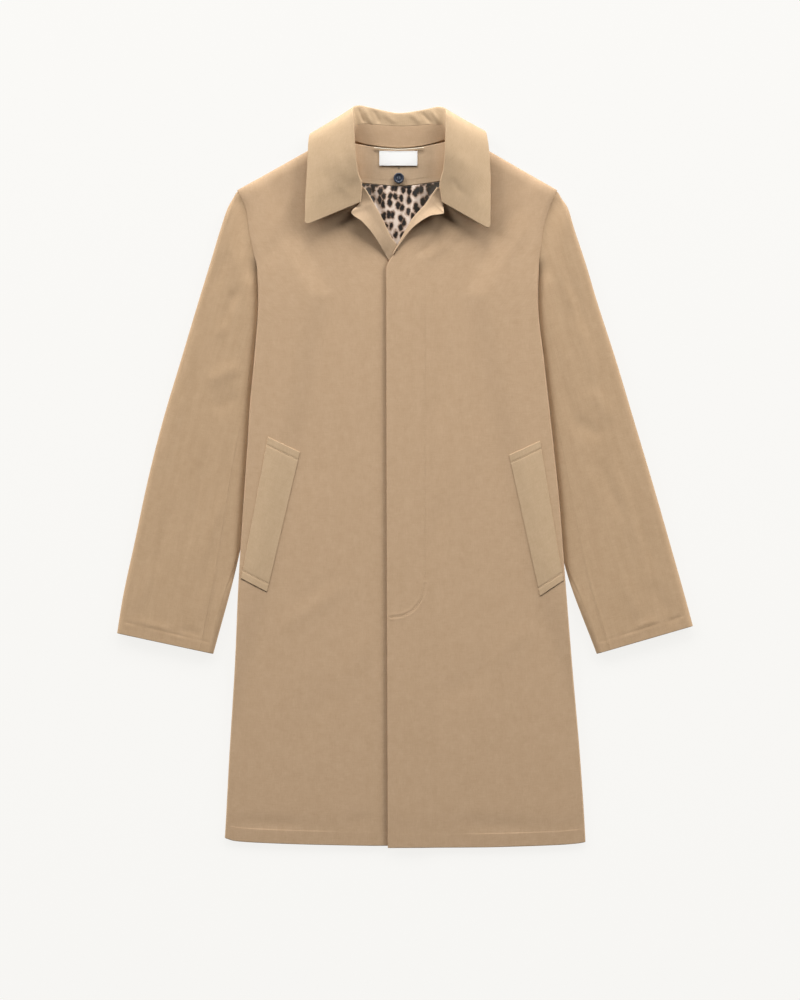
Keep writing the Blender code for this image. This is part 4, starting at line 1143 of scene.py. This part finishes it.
def satin_finish():
    """Bands of near white along the rows, which also give the relief. At the scale 1 a band of the wave
    texture is 2 pi / 20 = 0.314 long, so the scale is 0.314 over the pitch."""
    material, tree, shader = new_finish(
        "woven_satin", 0.45, sheen_weight=0.3, sheen_roughness=0.3, specular_ior_level=0.5
    )
    cut = add(tree, "UVMap", uv_map="cut").outputs["UV"]
    floats = {"Vector": cut, "Scale": 0.314 / (FLOAT_PITCH * MM), "Distortion": 0.6}
    rib = add(tree, "TexWave", floats, bands_direction="Y").outputs["Fac"]
    mixed = add(tree, "Mix", {0: rib, 6: colour("F8F8F6"), 7: colour("FFFFFF")}, data_type="RGBA").outputs[2]
    tree.links.new(mixed, shader.inputs["Base Color"])
    bump = add(tree, "Bump", {"Height": rib, "Strength": 0.4, "Distance": 0.1 * MM}).outputs[0]
    tree.links.new(bump, shader.inputs["Normal"])
    return material


LABEL_WALL = 1.0
LABEL_CORNER = (-37.4, 449.8)
LABEL_SIZE = (55.4, 21.7)
LABEL_BULGE = 0.35
label_s, label_t = np.meshgrid(*(shares(size, 1.5, 0.5) for size in LABEL_SIZE))
label_plan = np.stack([label_s, label_t], axis=-1) * LABEL_SIZE + LABEL_CORNER
label_points = on_back(label_plan, SEAM + FACING_WALL + SEAM + 0.1)
label_points[..., 2] += LABEL_BULGE * np.sin(np.pi * label_s)
cloth("label", label_points, LABEL_WALL, 1, satin_finish(), edge=0.5)

# %% [markdown]
# ### Hanger loop
# A cream cord of three twisted strands, caught in the neck seam at both ends. It is a tube whose radius has
# three lobes that turn along its length.

# %% Hanger loop
LOOP = ((-45.0, 476.0), (-30.0, 474.6), (-8.7, 473.4), (12.0, 474.6), (27.5, 476.0))
LOOP_LONG = 73.0
LOOP_RADIUS = 0.75
cord = grained_finish("cream_cord", "DACDB2", "F3EBDA", 0.6, 0.75, relief=0.4, sheen_weight=0.2)


def tube(path, radius, lobes, twist, depth, sides):
    """A tube round a path: radius (1 + depth cos(lobes angle + twist length)), with its ends drawn in."""
    path = np.asarray(path, float)
    run = unit(np.gradient(path, axis=0))
    aside = unit(np.cross(run, [0.0, 0.0, 1.0]))
    up = np.cross(aside, run)
    angle = np.linspace(0.0, 2.0 * np.pi, sides, endpoint=False)[None, :]
    reach = run_length(path)[:, None]
    r = radius * (1.0 + depth * np.cos(lobes * angle + twist * reach))
    r = r * np.maximum(quarter(reach / radius) * quarter((reach[-1] - reach) / radius), 0.02)
    ring = aside[:, None] * np.cos(angle)[..., None] + up[:, None] * np.sin(angle)[..., None]
    points = path[:, None] + ring * r[..., None]
    index = np.arange(points.shape[0] * sides).reshape(-1, sides)
    faces = quads_of(np.concatenate([index, index[:, :1]], axis=1))
    uv = np.stack(np.broadcast_arrays(reach, angle * radius), axis=-1) * MM
    return points.reshape(-1, 3), faces, uv.reshape(-1, 2)


loop_path = on_back(along(LOOP, shares(LOOP_LONG, 0.5)), SEAM + FACING_WALL + 2.2)
loop_points, loop_faces, loop_uv = tube(loop_path, LOOP_RADIUS, lobes=3, twist=2.1, depth=0.16, sides=18)
loop = put_mesh("cord_hanger_loop", loop_points, loop_faces, loop_uv, cord)
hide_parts("hanger_loop")
print(loop.name, "faces", len(loop_faces))

# %% [markdown]
# ### Button
# A four-hole button of dark blue-black resin, turned on a lathe: a profile spun round its axis with a raised
# rim. The holes are cut with cylinders, and a grey thread runs between them.

# %% Button
resin = grained_finish(
    "polyester_resin", "1E222B", "454D5D", 2.4, 0.32, detail=3.0, ior=1.55, coat_weight=0.15
)
BUTTON_AT = (-9.0, 432.0)
BUTTON_RADIUS = 7.75
BUTTON_FACE = 1.69
HOLE_AT = 2.1
HOLE_RADIUS = 0.9
RINGS = 51
SIDES = 64
button_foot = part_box("inner_button")[0].z / MM
profile = np.array(
    [(0.0, BUTTON_FACE), (0.5, 1.66), (0.62, 1.72), (0.68, 2.05), (0.74, 2.5), (0.8, 2.6), (0.88, 2.58),
     (0.95, 2.3), (1.0, 1.7), (0.985, 1.1), (0.94, 0.5), (0.86, 0.12), (0.75, 0.0), (0.0, 0.0)]
)
spin = np.linspace(0.0, 2.0 * np.pi, SIDES, endpoint=False)
lathe = curve(np.arange(len(profile)), profile, np.linspace(0.0, len(profile) - 1.0, RINGS + 2))[1:-1]
lathe_r = np.maximum(lathe[:, :1], 0.0) * BUTTON_RADIUS
lathe_z = np.broadcast_to(lathe[:, 1:], (RINGS, SIDES))
turned = np.stack([lathe_r * np.cos(spin), lathe_r * np.sin(spin), lathe_z], axis=-1).reshape(-1, 3)
centres = np.array([(0.0, 0.0, BUTTON_FACE), (0.0, 0.0, 0.0)])
button_centre = np.array([BUTTON_AT[0], BUTTON_AT[1] - CENTRE_Y, button_foot])
button_points = (np.concatenate([turned, centres]) + button_centre) * MM
rings = np.arange(RINGS * SIDES).reshape(RINGS, SIDES)
side_faces = quads_of(np.concatenate([rings, rings[:, :1]], axis=1))
top_fan = np.stack([np.full(SIDES, rings.size), rings[0], np.roll(rings[0], -1)], axis=-1)
low_fan = np.stack([np.full(SIDES, rings.size + 1), np.roll(rings[-1], -1), rings[-1]], axis=-1)
button_faces = side_faces[:, ::-1].tolist() + top_fan.tolist() + low_fan.tolist()
button_mesh = bpy.data.meshes.new("button_inner")
button_mesh.from_pydata(button_points.tolist(), [], button_faces)
button = bpy.data.objects.new("button_inner", button_mesh)
bpy.context.scene.collection.objects.link(button)

# %% Button holes
drills = []
for angle in np.pi / 4 + np.arange(4) * np.pi / 2:
    bpy.ops.mesh.primitive_cylinder_add(vertices=20, radius=HOLE_RADIUS * MM, depth=12 * MM)
    drill = bpy.context.object
    drill.location = (button_centre + HOLE_AT * np.array([np.cos(angle), np.sin(angle), 0.0])) * MM
    drills.append(drill)
    cut = button.modifiers.new("hole", "BOOLEAN")
    cut.operation = "DIFFERENCE"
    cut.object = drill
bpy.context.view_layer.update()
drilled = bpy.data.meshes.new_from_object(button.evaluated_get(bpy.context.evaluated_depsgraph_get()))
button.modifiers.clear()
button.data = drilled
button.data.materials.clear()
button.data.materials.append(resin)
button.data.set_sharp_from_angle(angle=np.radians(40.0))
for drill in drills:
    bpy.data.objects.remove(drill, do_unlink=True)
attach(button, "root")
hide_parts("inner_button")
print(button.name, "faces", len(button.data.polygons))

# %% [markdown]
# ## Lining
# The lining is a smooth cloth printed with animal spots: a pale pinkish ground with dark, uneven spots that
# are longer than they are wide. Each spot is the middle of a cell of a Voronoi pattern, stretched along the
# cloth. Noise bends the cells and gnaws at the spots' edges, so that no two are alike, and the colour goes
# from black through brown to the ground. The cloth lies in soft folds, down from the neck facing.

# %% Lining print
SPOT_WIDE = 8.6
SPOT_LONG = 14.2
INKS = ((0.36, "1C1817"), (0.45, "33291F"), (0.53, "6C5445"), (0.61, "BFA592"), (0.80, "E2D1C3"))


def print_finish():
    """The distance from the middle of a bent cell, plus a noise, less a rise towards the sides of the neck,
    chooses a colour from INKS; that rise draws the spots larger there as painted shade. The colour is then
    mixed with a dull brown towards the sides: painted shade, where the collar and folds shade the lining."""
    material, tree, shader = new_finish(
        "printed_lining", 0.5, sheen_weight=0.25, sheen_roughness=0.35, specular_ior_level=0.4
    )
    place = add(tree, "TexCoord").outputs["Object"]
    bend = add(tree, "TexNoise", {"Vector": place, "Scale": 1 / (11 * MM), "Detail": 2.0}).outputs["Color"]
    bend = add(tree, "VectorMath", {0: bend, 1: (0.5, 0.5, 0.5)}, operation="SUBTRACT").outputs[0]
    sway = (7 * MM, 7 * MM, 0.0)
    bent = add(tree, "VectorMath", {0: bend, 1: sway, 2: place}, operation="MULTIPLY_ADD").outputs[0]
    scale = (1 / (SPOT_WIDE * MM), 1 / (SPOT_LONG * MM), 1.0)
    cells = add(tree, "Mapping", {"Vector": bent, "Scale": scale, "Rotation": (0.0, 0.0, 0.22)}).outputs[0]
    spot = add(
        tree, "TexVoronoi", {"Vector": cells, "Scale": 1.0, "Randomness": 0.8}, voronoi_dimensions="2D"
    ).outputs["Distance"]
    gnaw = add(tree, "TexNoise", {"Vector": place, "Scale": 1 / (3.2 * MM), "Detail": 3.0}).outputs["Fac"]
    ink = add(tree, "Math", {0: gnaw, 1: 0.34, 2: spot}, operation="MULTIPLY_ADD").outputs[0]
    aside = add(tree, "SeparateXYZ", {0: place}).outputs["X"]
    aside = add(tree, "Math", {0: aside, 1: NECK_MIDDLE_X * MM}, operation="SUBTRACT").outputs[0]
    aside = add(tree, "Math", {0: aside}, operation="ABSOLUTE").outputs[0]
    # Spots drawn larger towards the sides: painted shade of the lining's folds.
    denser_as_shade = add(tree, "MapRange", {"Value": aside, 1: 14 * MM, 2: 56 * MM, 3: 0.0, 4: 0.12}).outputs[0]
    ink = add(tree, "Math", {0: ink, 1: denser_as_shade}, operation="SUBTRACT").outputs[0]
    ramp = add(tree, "ValToRGB", {"Fac": ink})
    stops = ramp.color_ramp.elements
    for i, (at, tone) in enumerate(INKS):
        stop = stops[i] if i < 2 else stops.new(at)
        stop.position = at
        stop.color = colour(tone)
    # A dull brown mixed in towards the sides: painted shade where the collar shades the lining.
    painted_shade_mix = add(tree, "MapRange", {"Value": aside, 1: 20 * MM, 2: 58 * MM, 3: 0.0, 4: 0.55}).outputs[0]
    mixed = add(
        tree, "Mix", {0: painted_shade_mix, 6: ramp.outputs["Color"], 7: colour("5E564B")}, data_type="RGBA"
    ).outputs[2]
    tree.links.new(mixed, shader.inputs["Base Color"])
    weave = add(tree, "TexNoise", {"Vector": place, "Scale": 1 / (0.8 * MM), "Detail": 1.0}).outputs["Fac"]
    bump = add(tree, "Bump", {"Height": weave, "Strength": 0.2, "Distance": 0.1 * MM}).outputs[0]
    tree.links.new(bump, shader.inputs["Normal"])
    return material


silk = print_finish()
print("finish:", silk.name)

# %% Lining sheet
LINING_TOP = ((-80, 424), (-62, 424), (-8, 420), (51, 426.5), (66, 427))
LINING_LOW = ((-30, 316), (-12, 313), (8, 313))
LINING_FOLDS = (
    (-66, 428, -26, 352, 4.5, 1.1, 3.0),
    (-54, 428, -30, 372, 3.5, -0.7, 2.0),
    (-40, 426, -18, 346, 5.0, 0.9, -3.0),
    (-18, 424, -10, 340, 6.0, 0.7, 2.0),
    (4, 424, -4, 346, 5.0, -0.6, -2.0),
    (22, 426, 6, 350, 5.0, 0.9, 3.0),
    (40, 428, 14, 366, 4.0, -0.7, -2.0),
    (54, 428, 22, 362, 4.5, 1.1, -3.0),
)
lining_plan = between(LINING_LOW, LINING_TOP, shares(146.0, 1.8), shares(108.0, 2.2))
lining_points = on_back(lining_plan, NECK_LIES)
lining_points[..., 2] += 0.5 + 1.8 * creases(lining_plan[..., 0], lining_plan[..., 1], LINING_FOLDS)
lining_points[..., 2] -= 0.5 * ease((lining_plan[..., 1] - 412.0) / 10.0)
cloth("lining", lining_points, LINING_WALL, 1, silk)

# %% [markdown]
# ## Sewing thread
# Seams that are stitched from the outside show a row of short stitches: each rises out of the cloth, lies on
# it for two or three millimetres and dives back. One stitch is a grain of thread with six sides, and a whole
# row is placed at once by adding the grain to every place on a line, turned along the line. Real thread is
# 0.3 mm thick; it is drawn 0.5 mm thick so that it just shows. Thicker strokes hold the button, and short
# tacks sit above it and at the end of the lapel's buttonhole.

# %% Sewing thread
thread = grained_finish("polyester_thread", "B2946F", "D0B391", 1.5, 0.55, sheen_weight=0.2)
button_thread = grained_finish("button_thread", "6E7886", "A3ADBB", 0.7, 0.5, sheen_weight=0.15)
tack_thread = grained_finish("tack_thread", "7D705F", "9C8C76", 0.7, 0.5, sheen_weight=0.15)
GRAIN_RINGS = 5
GRAIN_SIDES = 6
GRAIN_POINTS = GRAIN_RINGS * GRAIN_SIDES
GRAIN_FACES = (GRAIN_RINGS - 1) * GRAIN_SIDES + 4
SUNK = 0.12


def stitch_row(line, up, pitch=3.1, long=2.5, thick=0.5):
    """Grains along a line: at a along the run, thick (1 - (2a / long)^2) / 2 up, with radius thick / 2."""
    line = np.asarray(line, float)
    reach = run_length(line)
    count = max(1, int(reach[-1] / pitch))
    at = (np.arange(count) + 0.5) / count * reach[-1]

    def read(table, q):
        """The table's values at the distances q along the line."""
        return np.stack([np.interp(q, reach, table[:, k]) for k in range(3)], axis=-1)

    middle = read(line, at)
    lift = read(np.broadcast_to(up, line.shape), at)
    run = unit(read(line, at + 0.6) - read(line, at - 0.6))
    aside = unit(np.cross(run, lift))
    a = long / 2 * np.array([-1.0, -0.72, 0.0, 0.72, 1.0])
    r = thick / 2 * np.array([0.4, 0.9, 1.0, 0.9, 0.4])
    angle = np.arange(GRAIN_SIDES) * 2.0 * np.pi / GRAIN_SIDES
    c = thick * 0.5 * (1.0 - (2.0 * a / long) ** 2)[:, None] + r[:, None] * np.sin(angle) - SUNK
    b = r[:, None] * np.cos(angle)
    a = np.broadcast_to(a[:, None], b.shape)
    points = middle[:, None, None] + run[:, None, None] * a[..., None] + aside[:, None, None] * b[..., None]
    points = points + lift[:, None, None] * c[..., None]
    ring = np.arange(GRAIN_POINTS).reshape(GRAIN_RINGS, GRAIN_SIDES)
    one = quads_of(np.concatenate([ring, ring[:, :1]], axis=1))
    caps = np.array([[0, 3, 2, 1], [0, 5, 4, 3], [24, 25, 26, 27], [24, 27, 28, 29]])
    faces = np.concatenate([one, caps])[None] + GRAIN_POINTS * np.arange(count)[:, None, None]
    return points.reshape(-1, 3), faces.reshape(-1, 4)


def sew(name, lines, finish, slot="gabardine", **size):
    """Rows of stitches as one piece."""
    made = [stitch_row(line, up, **size) for line, up in lines]
    start = np.cumsum([0] + [len(points) for points, faces in made])
    points = np.concatenate([points for points, faces in made])
    faces = np.concatenate([faces + s for (p, faces), s in zip(made, start)])
    piece = put_mesh(name, points, faces, points[:, :2] * MM, finish)
    print(piece.name, "stitches", len(faces) // GRAIN_FACES)


def on_front(side, line):
    """A line on a front's upper face, with its creases."""
    x, y = line[:, 0], line[:, 1]
    hem = np.array(HEM_LINE[side], float)
    z = front_height(side, x, y) + front_relief(side, x, y, y - np.interp(x, hem[:, 0], hem[:, 1]))
    return raised(line, z)


# %% Topstitching
UPRIGHT = np.array([0.0, 0.0, 1.0])
fly_up = np.stack([np.full(200, FLY_X), np.linspace(-150.0, 300.0, 200)], axis=-1)
fly_end = along(FLY_CURVE, np.linspace(0.0, 1.0, 60))
sew("stitches_fly", [(on_front("left", line), UPRIGHT) for line in (fly_up, fly_end)], thread)

welt_lines = []
for side in ("right", "left"):
    for f in (WELT_STITCH / WELT_LONG, 1.0 - WELT_STITCH / WELT_LONG):
        plan = welt_plan(side, np.full(30, f), np.linspace(0.03, 0.97, 30))
        welt_lines.append((raised(plan, welt_height(side, plan) + WELT_WALL - 0.24), UPRIGHT))
sew("stitches_welts", welt_lines, thread)

leaf_up = normals(leaf_points, False)
leaf_face = leaf_points + leaf_up * COLLAR_WALL / 2
leaf_u, leaf_v = lengths(leaf_face)
LEAF_STITCH = 3.5
mid_row, mid_column = leaf_face.shape[0] // 6, leaf_face.shape[1] // 2
edge_column = int(np.argmin(np.abs(leaf_u[mid_row, -1] - leaf_u[mid_row] - LEAF_STITCH)))
roll_column = int(np.argmin(np.abs(leaf_u[mid_row] - 20.0)))
first_row = int(np.argmin(np.abs(leaf_v[:, mid_column] - LEAF_STITCH)))
last_row = int(np.argmin(np.abs(leaf_v[-1, mid_column] - leaf_v[:, mid_column] - LEAF_STITCH)))
parts = [(slice(first_row, last_row + 1), edge_column)]
parts += [(i, slice(roll_column, edge_column + 1)) for i in (first_row, last_row)]
sew("stitches_collar", [(leaf_face[part], leaf_up[part]) for part in parts], thread)

neck_low = along(NECK_FACING_LOW, np.linspace(0.06, 0.94, 120)) + np.array([0.0, NECK_STITCH])
neck_line = on_back(neck_low, NECK_LIES + NECK_WALL)
sew("stitches_neck_facing", [(neck_line, UPRIGHT)], thread, long=2.2, thick=0.45)

# %% Button thread and tacks
hole_x = HOLE_AT * np.cos(np.pi / 4)
stroke_y = BUTTON_AT[1] + np.linspace(-hole_x - 0.5, hole_x + 0.5, 7)
strokes = []
for x in (BUTTON_AT[0] - hole_x, BUTTON_AT[0] + hole_x):
    line = np.stack([np.full(7, x), stroke_y, np.full(7, button_foot + 1.85)], axis=-1)
    strokes.append((line, UPRIGHT))
sew("thread_button", strokes, button_thread, "button_resin", pitch=5.0, long=4.0, thick=0.8)

BUTTONHOLE_AT = (32.0, 385.0)
tack = []
for x, low, high in ((-9.9, 444.6, 448.4), (-9.0, 444.2, 449.0), (-8.2, 445.0, 448.0)):
    plan = np.stack([np.full(6, x), np.linspace(low, high, 6)], axis=-1)
    tack.append((on_back(plan, SEAM + FACING_WALL + 0.05), UPRIGHT))
lapel_up = normals(lapel_points, True)
far = np.hypot(lapel_points[..., 0] - BUTTONHOLE_AT[0], lapel_points[..., 1] - BUTTONHOLE_AT[1])
far = far + 100.0 * (lapel_up[..., 2] < 0.2)
row, column = np.unravel_index(np.argmin(far), far.shape)
for part in ((slice(row - 2, row + 3), column), (slice(row - 2, row + 3), column + 1)):
    tack.append((lapel_points[part] + lapel_up[part] * FACING_WALL / 2, lapel_up[part]))
sew("thread_tacks", tack, tack_thread, pitch=9.0, long=3.8, thick=0.6)

# %% [markdown]
# ## Finish
# The last lines list the model's nodes that are still shown.

# %% Nodes still shown
shown = [name for name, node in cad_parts.items() if not node.hide_render]
print("nodes still shown:", shown)
